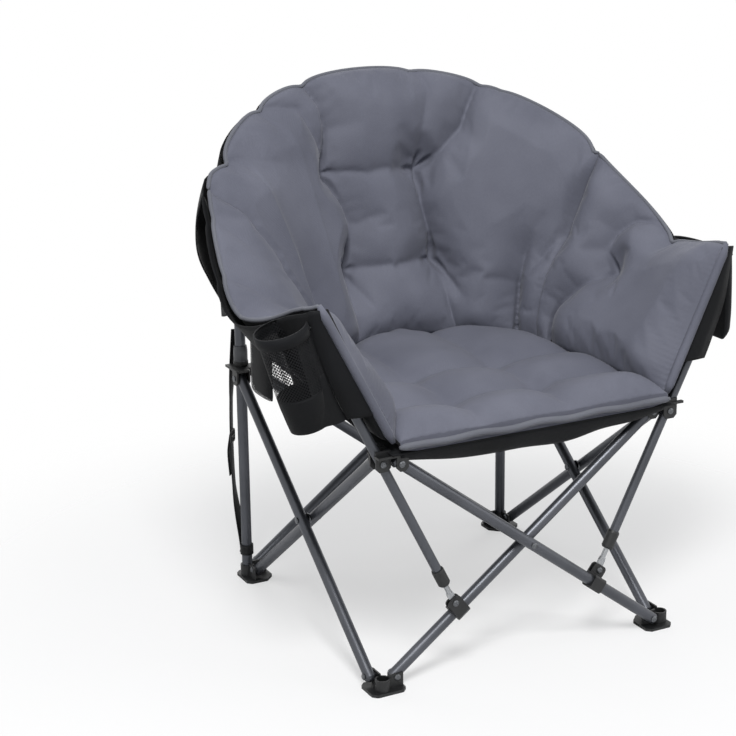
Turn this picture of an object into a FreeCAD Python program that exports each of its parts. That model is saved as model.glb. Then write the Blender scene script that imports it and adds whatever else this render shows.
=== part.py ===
import FreeCAD, Part
import math
import os
import re
import Sketcher
from FreeCAD import Placement, Rotation, Vector

# Padded folding camping chair: a four-sided scissor frame of steel tube under a padded tub cover.
# +Z is up, the chair faces -Y and stands on Z = 0. All sizes are millimetres.

SIZES = {
    # Frame layout
    "corner_half": 272,
    "centre_shift": -12,
    "pin_inset": 26,
    "plane_offset": 11,
    "foot_pin_z": 22,
    "hub_pin_z": 394,
    # Tubes
    "tube_radius": 9.5,
    "tube_wall": 1.2,
    "end_round": 4,
    "upright_radius": 9.5,
    "upright_top": 700,
    "post_radius": 8,
    "post_wall": 1.2,
    "post_above": 200,
    "post_below": 248,
    "rod_radius": 4.5,
    "rod_length": 245,
    "eye_width": 12,
    "eye_thickness": 5,
    "eye_reach": 20,
    "eye_taper": 6,
    "stop_length": 10,
    # Rivets and running gaps
    "rivet_radius": 3,
    "head_radius": 5.5,
    "head_height": 2.5,
    "pin_clearance": 0.05,
    "side_gap": 0.4,
    "slide_gap": 0.35,
    "soft_gap": 0.5,
    # Feet
    "foot_base": 5,
    "foot_height": 29,
    "foot_wall": 3,
    "foot_margin": 13,
    "foot_lip": 2.5,
    "foot_cut": 8,
    "socket_gap": 0.3,
    "socket_wall": 2.7,
    "socket_height": 25,
    # Hubs
    "plate_rise": 12,
    "plate_thickness": 4,
    "plate_side": 15,
    "cheek_thickness": 3,
    "cheek_root": 17,
    "cheek_margin": 12,
    "cheek_drop": 12,
    "cheek_cut": 6,
    "clevis_half": 13,
    "clevis_rise": 6,
    "slot_inner": 7.5,
    "sleeve_wall": 3.6,
    "sleeve_drop": 14,
    "sleeve_rise": 8,
    "bush_wall": 2.8,
    "bush_height": 28,
    "bush_taper": 1.2,
    # Saddle brackets
    "bracket_from_foot": 150,
    "bracket_length": 26,
    "bracket_wall": 3.2,
    "pivot_height": 22,
    "ear_thickness": 3,
    "ear_rise": 9,
    "slot_floor": 3.2,
    # Post ferrules
    "ferrule_wall": 2.5,
    "ferrule_cover": 24,
    "ferrule_tip": 8,
    "ferrule_round": 3,
    # Back of the cover
    "base_side_inset": 37,
    "base_rear_inset": 67,
    "base_rise": 42,
    "rim_side_flare": 116,
    "rim_rear_flare": 32,
    "rim_top": 915,
    "rim_drop": 212,
    "rim_thickness": 22,
    "back_thickness": 46,
    "back_swell": 46,
    "back_bow": 2,
    "fold_reach": 85,
    "rim_reach": 60,
    "base_reach": 100,
    "back_end_angle": 72,
    "shell_thickness": 3,
    "shell_low": 505,
    "shell_tuck": 14,
    "shell_bow": 12,
    # Arms of the cover
    "arm_base_rise": 36,
    "arm_front_reach": 16,
    "arm_base_inset": 18,
    "arm_corner_rise": 282,
    "arm_corner_inset": 57.5,
    "arm_dip": 86,
    "arm_bulge": 36,
    "arm_base_depth": 22,
    "arm_thickness": 30,
    "arm_crown": 30,
    "arm_end_crown": 2,
    "sleeve_reach": 28,
    "sleeve_top_reach": 4,
    "panel_lift": 34,
    # Seat of the cover
    "seat_margin": 5,
    "seat_front_reach": 30,
    "seat_rear_gap": 9,
    "seat_tuck": 6,
    "seat_edge": 20,
    "seat_swell": 26,
    "seat_reach": 70,
    "quilt_left": 106,
    "quilt_right": 58,
    "quilt_front": 195,
    "quilt_rear": 57,
    "sling_thickness": 3,
    "valance_drop": 34,
    "valance_rise": 16,
    "valance_inset": 48,
    # Pockets on the arms
    "cup_radius": 39,
    "cup_wall": 2.5,
    "cup_height": 160,
    "cup_tilt": 16,
    "cup_rim_z": 625,
    "cup_y": 262,
    "pouch_length": 172,
    "pouch_height": 150,
    "pouch_thickness": 12,
    "pouch_bow": 24,
    "pouch_top_z": 630,
    "pouch_y": 138,
    "mesh_length": 80,
    "mesh_height": 95,
    "mesh_thickness": 12,
    "mesh_bow": 2,
    "mesh_y": 80,
    "mesh_top_z": 560,
    # Closure strap
    "strap_width": 20,
    "strap_thickness": 2,
    "strap_top_z": 472,
    "strap_low_z": 64,
    "strap_top_run": 150,
    "strap_low_run": 90,
    "strap_stand_off": 26,
    "loop_height": 18,
}

os.makedirs("parts", exist_ok=True)
doc = FreeCAD.newDocument("camping_chair")
sheet = doc.addObject("Spreadsheet::Sheet", "Sizes")
for row, (alias, number) in enumerate(SIZES.items(), start=1):
    sheet.set("A%d" % row, alias.replace("_", " "))
    sheet.set("B%d" % row, str(number))
    sheet.setAlias("B%d" % row, alias)
doc.recompute()

ALIAS = re.compile(r"\b(" + "|".join(SIZES) + r")\b")
nodes = []


def bound(text):
    # An expression in the sheet's words, made ready for another object of the document.
    return ALIAS.sub(r"Sizes.\1", text)


def size(text):
    return float(sheet.evalExpression(text))


def node(part, label):
    part.Label = label
    nodes.append(part)
    return part


def new_body(label):
    return doc.addObject("PartDesign::Body", label)


def new_sketch(body, role, offset="0"):
    sketch = body.newObject("Sketcher::SketchObject", body.Name + "_sketch")
    plane = next(f for f in body.Origin.OriginFeatures if f.Role == role)
    sketch.AttachmentSupport = [(plane, "")]
    sketch.MapMode = "FlatFace"
    sketch.setExpression("AttachmentOffset.Base.z", bound(offset))
    return sketch


def bind(sketch, kind, geometry, point, text):
    constraint = Sketcher.Constraint(kind, -1, 1, geometry, point, size(text))
    index = sketch.addConstraint(constraint)
    sketch.setExpression("Constraints[%d]" % index, bound(text))


def outline(sketch, corners):
    # A closed outline of straight lines, each corner bound to the sheet.
    places = [Vector(size(x), size(y), 0) for x, y in corners]
    first = sketch.GeometryCount
    count = len(corners)
    for i in range(count):
        sketch.addGeometry(Part.LineSegment(places[i], places[(i + 1) % count]), False)
    for i, (x, y) in enumerate(corners):
        following = first + (i + 1) % count
        sketch.addConstraint(Sketcher.Constraint("Coincident", first + i, 2, following, 1))
        bind(sketch, "DistanceX", first + i, 1, x)
        bind(sketch, "DistanceY", first + i, 1, y)


def circle(sketch, x, y, radius):
    centre = Vector(size(x), size(y), 0)
    geometry = sketch.addGeometry(Part.Circle(centre, Vector(0, 0, 1), size(radius)), False)
    index = sketch.addConstraint(Sketcher.Constraint("Radius", geometry, size(radius)))
    sketch.setExpression("Constraints[%d]" % index, bound(radius))
    bind(sketch, "DistanceX", geometry, 3, x)
    bind(sketch, "DistanceY", geometry, 3, y)


def pad(body, sketch, length, symmetric=False):
    feature = body.newObject("PartDesign::Pad", body.Name + "_pad")
    feature.Profile = sketch
    feature.setExpression("Length", bound(length))
    if symmetric:
        feature.SideType = "Symmetric"
    return feature


def pocket(body, sketch, length=None):
    # With no length the cut goes right through, both ways.
    feature = body.newObject("PartDesign::Pocket", body.Name + "_cut")
    feature.Profile = sketch
    if length is None:
        feature.Type = "ThroughAll"
        feature.SideType = "Symmetric"
    else:
        feature.setExpression("Length", bound(length))
    return feature


def revolve(body, sketch):
    feature = body.newObject("PartDesign::Revolution", body.Name + "_turned")
    feature.Profile = sketch
    feature.ReferenceAxis = (sketch, ["V_Axis"])
    feature.Angle = 360
    return feature


def fillet(body, radius, wanted):
    # Rounds the edges of the body so far that the test picks out.
    doc.recompute()
    base = body.Tip
    picked = ["Edge%d" % i for i, e in enumerate(base.Shape.Edges, start=1) if wanted(e)]
    feature = body.newObject("PartDesign::Fillet", body.Name + "_fillet")
    feature.Base = (base, picked)
    feature.setExpression("Radius", bound(radius))
    return feature


def turned(quarter, place):
    # The frame has a four-fold turn about the middle of its footprint.
    middle = Vector(0, size("centre_shift"), 0)
    return Placement(middle, Rotation(Vector(0, 0, 1), 90 * quarter)) * place


def corner(quarter, z=0.0):
    half = size("corner_half")
    return turned(quarter, Placement(Vector(-half, -half, z), Rotation()))


# Corners in order of the four-fold turn, and the side that runs from each to the next
CORNERS = ["front_left", "front_right", "rear_right", "rear_left"]
SIDES = ["front", "right", "rear", "left"]

pin_half = size("corner_half - pin_inset")
pin_rise = size("hub_pin_z - foot_pin_z")
tube_span = math.hypot(2 * pin_half, pin_rise)
cross_angle = math.degrees(math.atan2(pin_rise, 2 * pin_half))
SPAN = "sqrt((2 * (corner_half - pin_inset)) ^ 2 + (hub_pin_z - foot_pin_z) ^ 2)"


# Round tubes

def tube(label, radius, wall, length, holes, open_foot=False):
    # Runs along +Z from its lower end, its ends plugged and rounded over; rivet holes lie along Y.
    body = new_body(label)
    profile = new_sketch(body, "XZ_Plane")
    bore = "%s - %s" % (radius, wall)
    neck = "%s - end_round" % radius
    top = "%s - end_round" % length
    corners = [(radius, top), (neck, length), ("0", length), ("0", top), (bore, top)]
    if open_foot:
        corners += [(bore, "0"), (radius, "0")]
    else:
        corners += [(bore, "end_round"), ("0", "end_round"), ("0", "0"), (neck, "0"), (radius, "end_round")]
    outline(profile, corners)
    revolve(body, profile)
    if holes:
        drill = new_sketch(body, "XZ_Plane")
        for height in holes:
            circle(drill, "0", height, "rivet_radius + pin_clearance")
        pocket(body, drill)
    return node(body, label)


def cross_tube(label, quarter, inner):
    length = SPAN + " + 2 * tube_radius"
    last = SPAN + " + tube_radius"
    holes = ["tube_radius", "(" + length + ") / 2", last]
    body = tube(label, "tube_radius", "tube_wall", length, holes)
    side = 1 if inner else -1
    lean = Rotation(Vector(0, 1, 0), side * (90 - cross_angle))
    foot = Vector(-side * pin_half, size("plane_offset") * side - size("corner_half"), size("foot_pin_z"))
    start = foot - lean.multVec(Vector(0, 0, size("tube_radius")))
    body.Placement = turned(quarter, Placement(start, lean))


for quarter, side in enumerate(SIDES):
    cross_tube(side + "_inner_tube", quarter, True)
    cross_tube(side + "_outer_tube", quarter, False)


# Rivets

def rivet(name, grip, place):
    # A domed head at each end of the shank, which runs along +Z for the length of the grip.
    body = new_body(name)
    profile = new_sketch(body, "XZ_Plane")
    crown = "head_radius * 0.6"
    edge = "head_height * 0.45"
    top = "(%s)" % grip
    outline(profile, [
        ("0", "-head_height"), (crown, "-head_height"), ("head_radius", "-" + edge),
        ("head_radius", "0"), ("rivet_radius", "0"), ("rivet_radius", top),
        ("head_radius", top), ("head_radius", top + " + " + edge),
        (crown, top + " + head_height"), ("0", top + " + head_height"),
    ])
    revolve(body, profile)
    body.Placement = place
    return body


def group(label, members):
    compound = doc.addObject("Part::Compound", label)
    compound.Links = members
    return node(compound, label)


ALONG_Y = Rotation(Vector(1, 0, 0), -90)
ALONG_X = Rotation(Vector(0, 1, 0), 90)


def crossing_rivet(label, quarter):
    # The shank takes both tubes, and a shoulder between them keeps them apart.
    body = new_body(label)
    profile = new_sketch(body, "XZ_Plane")
    grip = "plane_offset + tube_radius + side_gap"
    shoulder = "plane_offset - tube_radius - side_gap"
    crown = "head_radius * 0.6"
    edge = "head_height * 0.45"
    outline(profile, [
        ("0", "-(%s) - head_height" % grip), (crown, "-(%s) - head_height" % grip),
        ("head_radius", "-(%s) - %s" % (grip, edge)), ("head_radius", "-(%s)" % grip),
        ("rivet_radius", "-(%s)" % grip), ("rivet_radius", "-(%s)" % shoulder),
        ("tube_radius", "-(%s)" % shoulder), ("tube_radius", shoulder),
        ("rivet_radius", shoulder), ("rivet_radius", grip),
        ("head_radius", grip), ("head_radius", "%s + %s" % (grip, edge)),
        (crown, "%s + head_height" % grip), ("0", "%s + head_height" % grip),
    ])
    revolve(body, profile)
    middle = Vector(0, -size("corner_half"), size("(foot_pin_z + hub_pin_z) / 2"))
    body.Placement = turned(quarter, Placement(middle, ALONG_Y))
    return node(body, label)


for quarter, side in enumerate(SIDES):
    crossing_rivet(side + "_cross_rivet", quarter)


# Feet: one moulding, four times. X runs along the inner tube's side, Y along the outer tube's side.

INNER_FACE = "plane_offset - tube_radius - side_gap"
OUTER_FACE = "plane_offset + tube_radius + side_gap"


def foot(label, quarter):
    body = new_body(label)
    reach = "pin_inset + foot_margin"
    side = "plane_offset + tube_radius + foot_lip"
    toe = "upright_radius + socket_gap + socket_wall + foot_lip"
    base = new_sketch(body, "XY_Plane")
    outline(base, [
        ("-(%s)" % toe, "-(%s)" % toe), (reach + " - foot_cut", "-(%s)" % toe),
        (reach, "-(%s) + foot_cut" % toe), (reach, side), (side, reach),
        ("-(%s) + foot_cut" % side, reach), ("-(%s)" % side, reach + " - foot_cut"),
        ("-(%s)" % side, "foot_cut - (%s)" % toe),
    ])
    pad(body, base, "foot_base")
    fillet(body, "foot_cut / 2", lambda e: abs(e.tangentAt(e.FirstParameter).z) > 0.99)
    end = "pin_inset + cheek_margin - foot_lip / 2"
    walls = new_sketch(body, "XY_Plane")
    outline(walls, [
        ("0", INNER_FACE + " - foot_wall"), (end, INNER_FACE + " - foot_wall"),
        (end, INNER_FACE), ("0", INNER_FACE),
    ])
    pad(body, walls, "foot_height")
    walls = new_sketch(body, "XY_Plane")
    outline(walls, [
        ("-(%s)" % INNER_FACE, "0"), ("foot_wall - (%s)" % INNER_FACE, "0"),
        ("foot_wall - (%s)" % INNER_FACE, end), ("-(%s)" % INNER_FACE, end),
    ])
    pad(body, walls, "foot_height")
    socket = new_sketch(body, "XY_Plane")
    circle(socket, "0", "0", "upright_radius + socket_gap + socket_wall")
    pad(body, socket, "socket_height")
    bore = new_sketch(body, "XY_Plane", "foot_height")
    circle(bore, "0", "0", "upright_radius + socket_gap")
    pocket(body, bore, "foot_height - foot_base")
    drill = new_sketch(body, "XZ_Plane", "foot_wall - (%s)" % INNER_FACE)
    circle(drill, "pin_inset", "foot_pin_z", "rivet_radius + pin_clearance")
    pocket(body, drill, "foot_wall")
    drill = new_sketch(body, "YZ_Plane", "foot_wall - (%s)" % INNER_FACE)
    circle(drill, "pin_inset", "foot_pin_z", "rivet_radius + pin_clearance")
    pocket(body, drill, "foot_wall")
    body.Placement = corner(quarter)
    return node(body, label)


def foot_rivets(label, quarter):
    grip = "%s - (%s) + foot_wall" % (OUTER_FACE, INNER_FACE)
    low = size("%s - foot_wall" % INNER_FACE)
    inset, height = size("pin_inset"), size("foot_pin_z")
    inner = corner(quarter) * Placement(Vector(inset, low, height), ALONG_Y)
    outer = corner(quarter) * Placement(Vector(-size(OUTER_FACE), inset, height), ALONG_X)
    group(label, [rivet(label + "_a", grip, inner), rivet(label + "_b", grip, outer)])


for quarter, name in enumerate(CORNERS):
    foot(name + "_foot", quarter)
    foot_rivets(name + "_foot_rivets", quarter)


# Hubs: an inverted channel for each tube end under one flat plate, pins at Z = 0 of the hub.
# X runs along the outer tube's side, Y along the inner tube's side.

def cheek(body, role, offset, thickness, low, high, top, drop):
    # A hanging ear with a cut-round bottom.
    sketch = new_sketch(body, role, offset)
    outline(sketch, [
        (low, top), (low, "cheek_cut - (%s)" % drop), (low + " + cheek_cut", "-(%s)" % drop),
        (high + " - cheek_cut", "-(%s)" % drop), (high, "cheek_cut - (%s)" % drop), (high, top),
    ])
    pad(body, sketch, thickness)


def hub(label, quarter, post_axis=None):
    body = new_body(label)
    reach = "pin_inset + cheek_margin"
    far = OUTER_FACE + " + cheek_thickness"
    near = "cheek_thickness - (%s)" % INNER_FACE
    plate = new_sketch(body, "XY_Plane", "plate_rise")
    outline(plate, [
        ("-plate_side", "-(%s)" % far), (reach, "-(%s)" % far), (reach, near), (far, near),
        (far, reach), ("-(%s)" % near, reach), ("-(%s)" % near, "plate_side"),
        ("-plate_side", "plate_side"),
    ])
    pad(body, plate, "plate_thickness")
    fillet(body, "cheek_cut", lambda e: abs(e.tangentAt(e.FirstParameter).z) > 0.99
           and e.CenterOfMass.x + e.CenterOfMass.y < size("%s + pin_inset" % far)
           and max(e.CenterOfMass.x, e.CenterOfMass.y) > size("pin_inset"))
    top = "plate_rise + plate_thickness / 2"
    cheek(body, "XZ_Plane", "-(%s)" % near, "cheek_thickness", "cheek_root", reach, top, "cheek_drop")
    cheek(body, "XZ_Plane", OUTER_FACE, "cheek_thickness", "cheek_root", reach, top, "cheek_drop")
    cheek(body, "YZ_Plane", "-(%s)" % near, "cheek_thickness", "cheek_root", reach, top, "cheek_drop")
    cheek(body, "YZ_Plane", OUTER_FACE, "cheek_thickness", "cheek_root", reach, top, "cheek_drop")
    if post_axis is None:
        sleeve = new_sketch(body, "XY_Plane", "-sleeve_drop")
        circle(sleeve, "0", "0", "upright_radius + slide_gap + sleeve_wall")
        pad(body, sleeve, "sleeve_drop + plate_rise + plate_thickness + sleeve_rise")
        bore = new_sketch(body, "XY_Plane")
        circle(bore, "0", "0", "upright_radius + slide_gap")
        pocket(body, bore)
    else:
        face = "post_radius + side_gap"
        rise = "plate_rise + plate_thickness + clevis_rise"
        role = "XZ_Plane" if post_axis == "Y" else "YZ_Plane"
        for offset in (face, "-(%s) - cheek_thickness" % face):
            cheek(body, role, offset, "cheek_thickness", "-clevis_half", "clevis_half", rise, "clevis_half")
        slot = new_sketch(body, "XY_Plane", "plate_rise + 2 * plate_thickness")
        rectangle = [
            ("-2 * plate_side", "-(%s)" % face), ("slot_inner", "-(%s)" % face),
            ("slot_inner", face), ("-2 * plate_side", face),
        ]
        if post_axis == "X":
            rectangle = [(y, x) for x, y in rectangle]
        outline(slot, rectangle)
        pocket(body, slot, "2 * plate_thickness")
        drill = new_sketch(body, role, face + " + cheek_thickness")
        circle(drill, "0", "0", "rivet_radius + pin_clearance")
        pocket(body, drill, "2 * (%s + cheek_thickness)" % face)
    depth = "%s + %s" % (far, near)
    drill = new_sketch(body, "XZ_Plane", far)
    circle(drill, "pin_inset", "0", "rivet_radius + pin_clearance")
    pocket(body, drill, depth)
    drill = new_sketch(body, "YZ_Plane", far)
    circle(drill, "pin_inset", "0", "rivet_radius + pin_clearance")
    pocket(body, drill, depth)
    body.Placement = corner(quarter, size("hub_pin_z"))
    return node(body, label)


def hub_rivets(label, quarter, post_axis=None):
    far = OUTER_FACE + " + cheek_thickness"
    near = "cheek_thickness - (%s)" % INNER_FACE
    grip = "%s + %s" % (far, near)
    inset, height = size("pin_inset"), size("hub_pin_z")
    outer = corner(quarter, height) * Placement(Vector(inset, -size(far), 0), ALONG_Y)
    inner = corner(quarter, height) * Placement(Vector(-size(near), inset, 0), ALONG_X)
    members = [rivet(label + "_a", grip, outer), rivet(label + "_b", grip, inner)]
    if post_axis:
        half = "post_radius + side_gap + cheek_thickness"
        turn = ALONG_Y if post_axis == "Y" else ALONG_X
        start = turn.multVec(Vector(0, 0, -size(half)))
        pivot = corner(quarter, height) * Placement(start, turn)
        members.append(rivet(label + "_c", "2 * (%s)" % half, pivot))
    group(label, members)


POST_AXES = {"front_left": "Y", "front_right": "X", "rear_right": None, "rear_left": None}
for quarter, name in enumerate(CORNERS):
    hub(name + "_hub", quarter, POST_AXES[name])
    hub_rivets(name + "_hub_rivets", quarter, POST_AXES[name])


# Rear uprights, with the bush that each rear hub slides on

def upright(label, quarter):
    body = tube(label, "upright_radius", "tube_wall", "upright_top - foot_base", [])
    body.Placement = corner(quarter, size("foot_base"))


def slide_bush(label, quarter):
    body = new_body(label)
    profile = new_sketch(body, "XZ_Plane")
    bore = "upright_radius + slide_gap"
    outline(profile, [
        (bore, "0"), (bore + " + bush_wall", "0"), (bore + " + bush_wall", "bush_height * 0.7"),
        (bore + " + bush_wall - bush_taper", "bush_height"), (bore, "bush_height"),
    ])
    revolve(body, profile)
    body.Placement = corner(quarter, size("hub_pin_z + plate_rise + plate_thickness + sleeve_rise"))
    return node(body, label)


for quarter in (2, 3):
    upright(CORNERS[quarter] + "_upright", quarter)
    slide_bush(CORNERS[quarter] + "_slide_bush", quarter)


# Front arm posts. Side -1 is the left and 1 the right; each post leans out in its own XZ plane.

def in_plane(side, x, z):
    # A place in the left post's plane, or the same place turned half round for the right post.
    y = size("centre_shift - corner_half")
    return Vector(-side * x, y, z)


along = Vector(math.cos(math.radians(cross_angle)), 0, math.sin(math.radians(cross_angle)))
across = Vector(-along.z, 0, along.x)
bracket_place = Vector(-pin_half, 0, size("foot_pin_z")) + along * size("bracket_from_foot")
eye_place = bracket_place + across * size("pivot_height")
post_pivot = Vector(-size("corner_half"), 0, size("hub_pin_z"))
post_lean = math.degrees(math.atan2(eye_place.x - post_pivot.x, post_pivot.z - eye_place.z))


def lean_out(side):
    return Rotation(Vector(0, 1, 0), side * post_lean)


def post(label, side):
    body = tube(label, "post_radius", "post_wall", "post_below + post_above", ["post_below"], open_foot=True)
    turn = lean_out(side)
    start = in_plane(side, post_pivot.x, post_pivot.z) - turn.multVec(Vector(0, 0, size("post_below")))
    body.Placement = Placement(start, turn)


def ferrule(label, side):
    body = new_body(label)
    profile = new_sketch(body, "XZ_Plane")
    rod_bore = "rod_radius + pin_clearance"
    seat = "post_radius + pin_clearance"
    outer = "post_radius + ferrule_wall"
    outline(profile, [
        (rod_bore, "-ferrule_tip"), (outer + " - ferrule_round * 0.7", "-ferrule_tip"),
        (outer, "ferrule_round - ferrule_tip"), (outer, "ferrule_cover - ferrule_round"),
        (outer + " - ferrule_round * 0.3", "ferrule_cover"), (seat, "ferrule_cover"),
        (seat, "0"), (rod_bore, "0"),
    ])
    revolve(body, profile)
    turn = lean_out(side)
    start = in_plane(side, post_pivot.x, post_pivot.z) - turn.multVec(Vector(0, 0, size("post_below")))
    body.Placement = Placement(start, turn)
    return node(body, label)


def rod(label, side):
    # Flattened to an eye at the lower end, turned to a stop shoulder inside the post.
    body = new_body(label)
    flat = new_sketch(body, "XZ_Plane")
    half = "eye_width / 2"
    outline(flat, [
        ("-(%s)" % half, "-%s / 2" % half), ("-(%s) / 2" % half, "-(%s)" % half),
        (half + " / 2", "-(%s)" % half), (half, "-%s / 2" % half),
        (half, "eye_reach - eye_taper / 2"), ("rod_radius", "eye_reach + eye_taper / 2"),
        ("-rod_radius", "eye_reach + eye_taper / 2"), ("-(%s)" % half, "eye_reach - eye_taper / 2"),
    ])
    pad(body, flat, "eye_thickness", symmetric=True)
    shaft = new_sketch(body, "XZ_Plane")
    shoulder = "post_radius - post_wall - side_gap"
    outline(shaft, [
        ("0", "eye_reach"), ("rod_radius", "eye_reach"), ("rod_radius", "rod_length - stop_length"),
        (shoulder, "rod_length - stop_length"), (shoulder, "rod_length"), ("0", "rod_length"),
    ])
    revolve(body, shaft)
    drill = new_sketch(body, "XZ_Plane")
    circle(drill, "0", "0", "rivet_radius + pin_clearance")
    pocket(body, drill)
    body.Placement = Placement(in_plane(side, eye_place.x, eye_place.z), lean_out(side))
    return node(body, label)


def bracket(label, side):
    # A moulded saddle round the tube; its ears stand to one side, in the post's plane.
    body = new_body(label)
    centre = "-plane_offset"
    gap = "eye_thickness / 2 + side_gap"
    ear = gap + " + ear_thickness"
    ring = "tube_radius + bracket_wall"
    crest = "pivot_height + ear_rise"
    section = new_sketch(body, "YZ_Plane")
    outline(section, [
        ("%s - (%s)" % (centre, ear), crest), ("%s - (%s)" % (centre, ear), "-tube_radius / 2"),
        ("-tube_radius", "-(%s)" % ring), ("tube_radius", "-(%s)" % ring),
        (ring, "-tube_radius"), (ring, "tube_radius"), ("tube_radius", ring),
        ("%s + %s" % (centre, ear), ring), ("%s + %s" % (centre, ear), crest),
    ])
    pad(body, section, "bracket_length", symmetric=True)
    fillet(body, "ear_rise * 0.8", lambda e: abs(e.tangentAt(e.FirstParameter).y) > 0.99
           and abs(e.CenterOfMass.z - size(crest)) < 0.01)
    slot = new_sketch(body, "YZ_Plane")
    outline(slot, [
        ("%s - (%s)" % (centre, gap), "tube_radius + slot_floor"),
        ("%s + %s" % (centre, gap), "tube_radius + slot_floor"),
        ("%s + %s" % (centre, gap), crest + " + ear_rise"),
        ("%s - (%s)" % (centre, gap), crest + " + ear_rise"),
    ])
    pocket(body, slot)
    bore = new_sketch(body, "YZ_Plane")
    circle(bore, "0", "0", "tube_radius + pin_clearance")
    pocket(body, bore)
    drill = new_sketch(body, "XZ_Plane")
    circle(drill, "0", "pivot_height", "rivet_radius + pin_clearance")
    pocket(body, drill)
    body.Placement = bracket_frame(side)
    return node(body, label)


def bracket_frame(side):
    # X along the tube and Z towards the ears, turned half round for the right side.
    half_turn = Rotation(Vector(0, 0, 1), 180 if side > 0 else 0)
    tilt = Rotation(Vector(0, 1, 0), -cross_angle)
    y = size("centre_shift - corner_half") - side * size("plane_offset")
    return Placement(Vector(-side * bracket_place.x, y, bracket_place.z), half_turn * tilt)


def bracket_rivet(label, side):
    # Two stubs, one in each ear, so that the rod's eye is free between them.
    gap = "eye_thickness / 2 + side_gap"
    frame = bracket_frame(side)
    stubs = []
    for end in (-1, 1):
        body = new_body(label + ("_near" if end < 0 else "_far"))
        profile = new_sketch(body, "XZ_Plane")
        outline(profile, [
            ("0", "0"), ("rivet_radius", "0"), ("rivet_radius", "ear_thickness"),
            ("head_radius", "ear_thickness"), ("head_radius", "ear_thickness + head_height * 0.45"),
            ("head_radius * 0.6", "ear_thickness + head_height"), ("0", "ear_thickness + head_height"),
        ])
        revolve(body, profile)
        turn = Rotation(Vector(1, 0, 0), -90 * end)
        start = Vector(0, end * size(gap) - size("plane_offset"), size("pivot_height"))
        body.Placement = frame * Placement(start, turn)
        stubs.append(body)
    group(label, stubs)


for side, name in ((-1, "front_left"), (1, "front_right")):
    post(name + "_post", side)
    ferrule(name + "_ferrule", side)
    rod(name + "_rod", side)
    bracket(name + "_bracket", side)
    bracket_rivet(name + "_bracket_rivet", side)


# Soft cover: lofts through upright sections of arcs and lines

def soft(shape, label):
    part = doc.addObject("Part::Feature", label)
    set_down = shape.Placement
    part.Shape = shape
    part.Placement = Placement(Vector(0, size("centre_shift"), 0), Rotation()) * set_down
    return node(part, label)


def arc(a, b, c):
    return Part.Arc(a, b, c).toShape()


def line(a, b):
    return Part.LineSegment(a, b).toShape()


def spline(points):
    curve = Part.BSplineCurve()
    curve.interpolate(points)
    return curve.toShape()


def sewn(places, hold, reach):
    # A stitched fold along a few places, as close points, with how hard it holds and how far it is felt.
    points = []
    for a, b in zip(places, places[1:]):
        steps = max(1, round((b - a).Length / 8))
        points += [a + (b - a) * (i / steps) for i in range(steps)]
    return points + [places[-1]], hold, reach


def puff(place, folds):
    # Share of the full swell at a place: none in a tight fold, all of it out of every fold's reach.
    left = 1.0
    for points, hold, reach in folds:
        gap = min(min((place - q).Length for q in points), reach)
        left *= 1 - hold * (1 - math.sin(math.pi / 2 * gap / reach))
    return left


def padded_section(base, rim, depth, middle, rim_thickness, inner):
    # Inner face through heights and how far each stands in, rounded rim, outer face, flat bottom.
    out, lean = outward(base, rim)
    rise = rim.z - base.z

    def at(reach, height):
        return base + out * reach + Vector(0, 0, height)

    shoulder = rise - rim_thickness / 2
    inner_low = at(0, 0)
    inner_high = at(lean, shoulder)
    outer_high = at(lean + rim_thickness, shoulder)
    outer_low = at(depth, 0)
    swollen = [at(lean * share - stand, shoulder * share) for share, stand in inner]
    return Part.Wire([
        spline([inner_low] + swollen + [inner_high]),
        arc(inner_high, at(lean + rim_thickness / 2, rise), outer_high),
        arc(outer_high, at(lean / 2 + middle, shoulder / 2), outer_low),
        line(outer_low, inner_low),
    ])


def back_place(angle):
    turn = math.radians(angle)
    half = size("corner_half")
    base = Vector((half - size("base_side_inset")) * math.sin(turn),
                  (half - size("base_rear_inset")) * math.cos(turn),
                  size("hub_pin_z + base_rise"))
    rim = Vector((half + size("rim_side_flare")) * math.sin(turn),
                 (half + size("rim_rear_flare")) * math.cos(turn),
                 size("rim_top") - size("rim_drop") * (1 - math.cos(turn)))
    return base, rim


def outward(base, rim):
    # Level direction from the foot of a section to its rim, and the distance.
    out = Vector(rim.x - base.x, rim.y - base.y, 0)
    return out / out.Length, out.Length


def upright_angle():
    # The section of the back that points straight at an upright.
    low, high = 0.0, 90.0
    corner_place = Vector(size("corner_half"), size("corner_half"), 0)
    for step in range(40):
        middle = (low + high) / 2
        base, rim = back_place(middle)
        out, lean = outward(base, rim)
        away = corner_place - Vector(base.x, base.y, 0)
        if out.x * away.y - out.y * away.x > 0:
            high = middle
        else:
            low = middle
    return low


def mirrored(angles):
    return [-a for a in reversed(angles) if a] + angles


def back_face(angle, share):
    base, rim = back_place(angle)
    return base + (rim - base) * share


# Main folds of the back: turn from the middle and share of the height, then how hard the stitches hold
BACK_FOLDS = [
    ([(-20, 1), (-19, 0.64), (-15, 0.45), (-18, 0.29), (-23, 0)], 0.9),
    ([(32, 1), (24, 0.72), (14, 0.63), (18, 0.38), (19, 0.29), (32, 0)], 0.85),
    ([(-19, 0.64), (14, 0.63)], 0.4),
    ([(-18, 0.29), (19, 0.29)], 0.4),
    ([(72, 1), (69, 0.6), (57, 0.3), (60, 0)], 0.8),
    ([(-72, 1), (-69, 0.6), (-57, 0.3), (-60, 0)], 0.8),
]
FACE_RISES = [0.05, 0.12, 0.2, 0.29, 0.37, 0.46, 0.55, 0.63, 0.72, 0.81, 0.9, 0.96]


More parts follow.
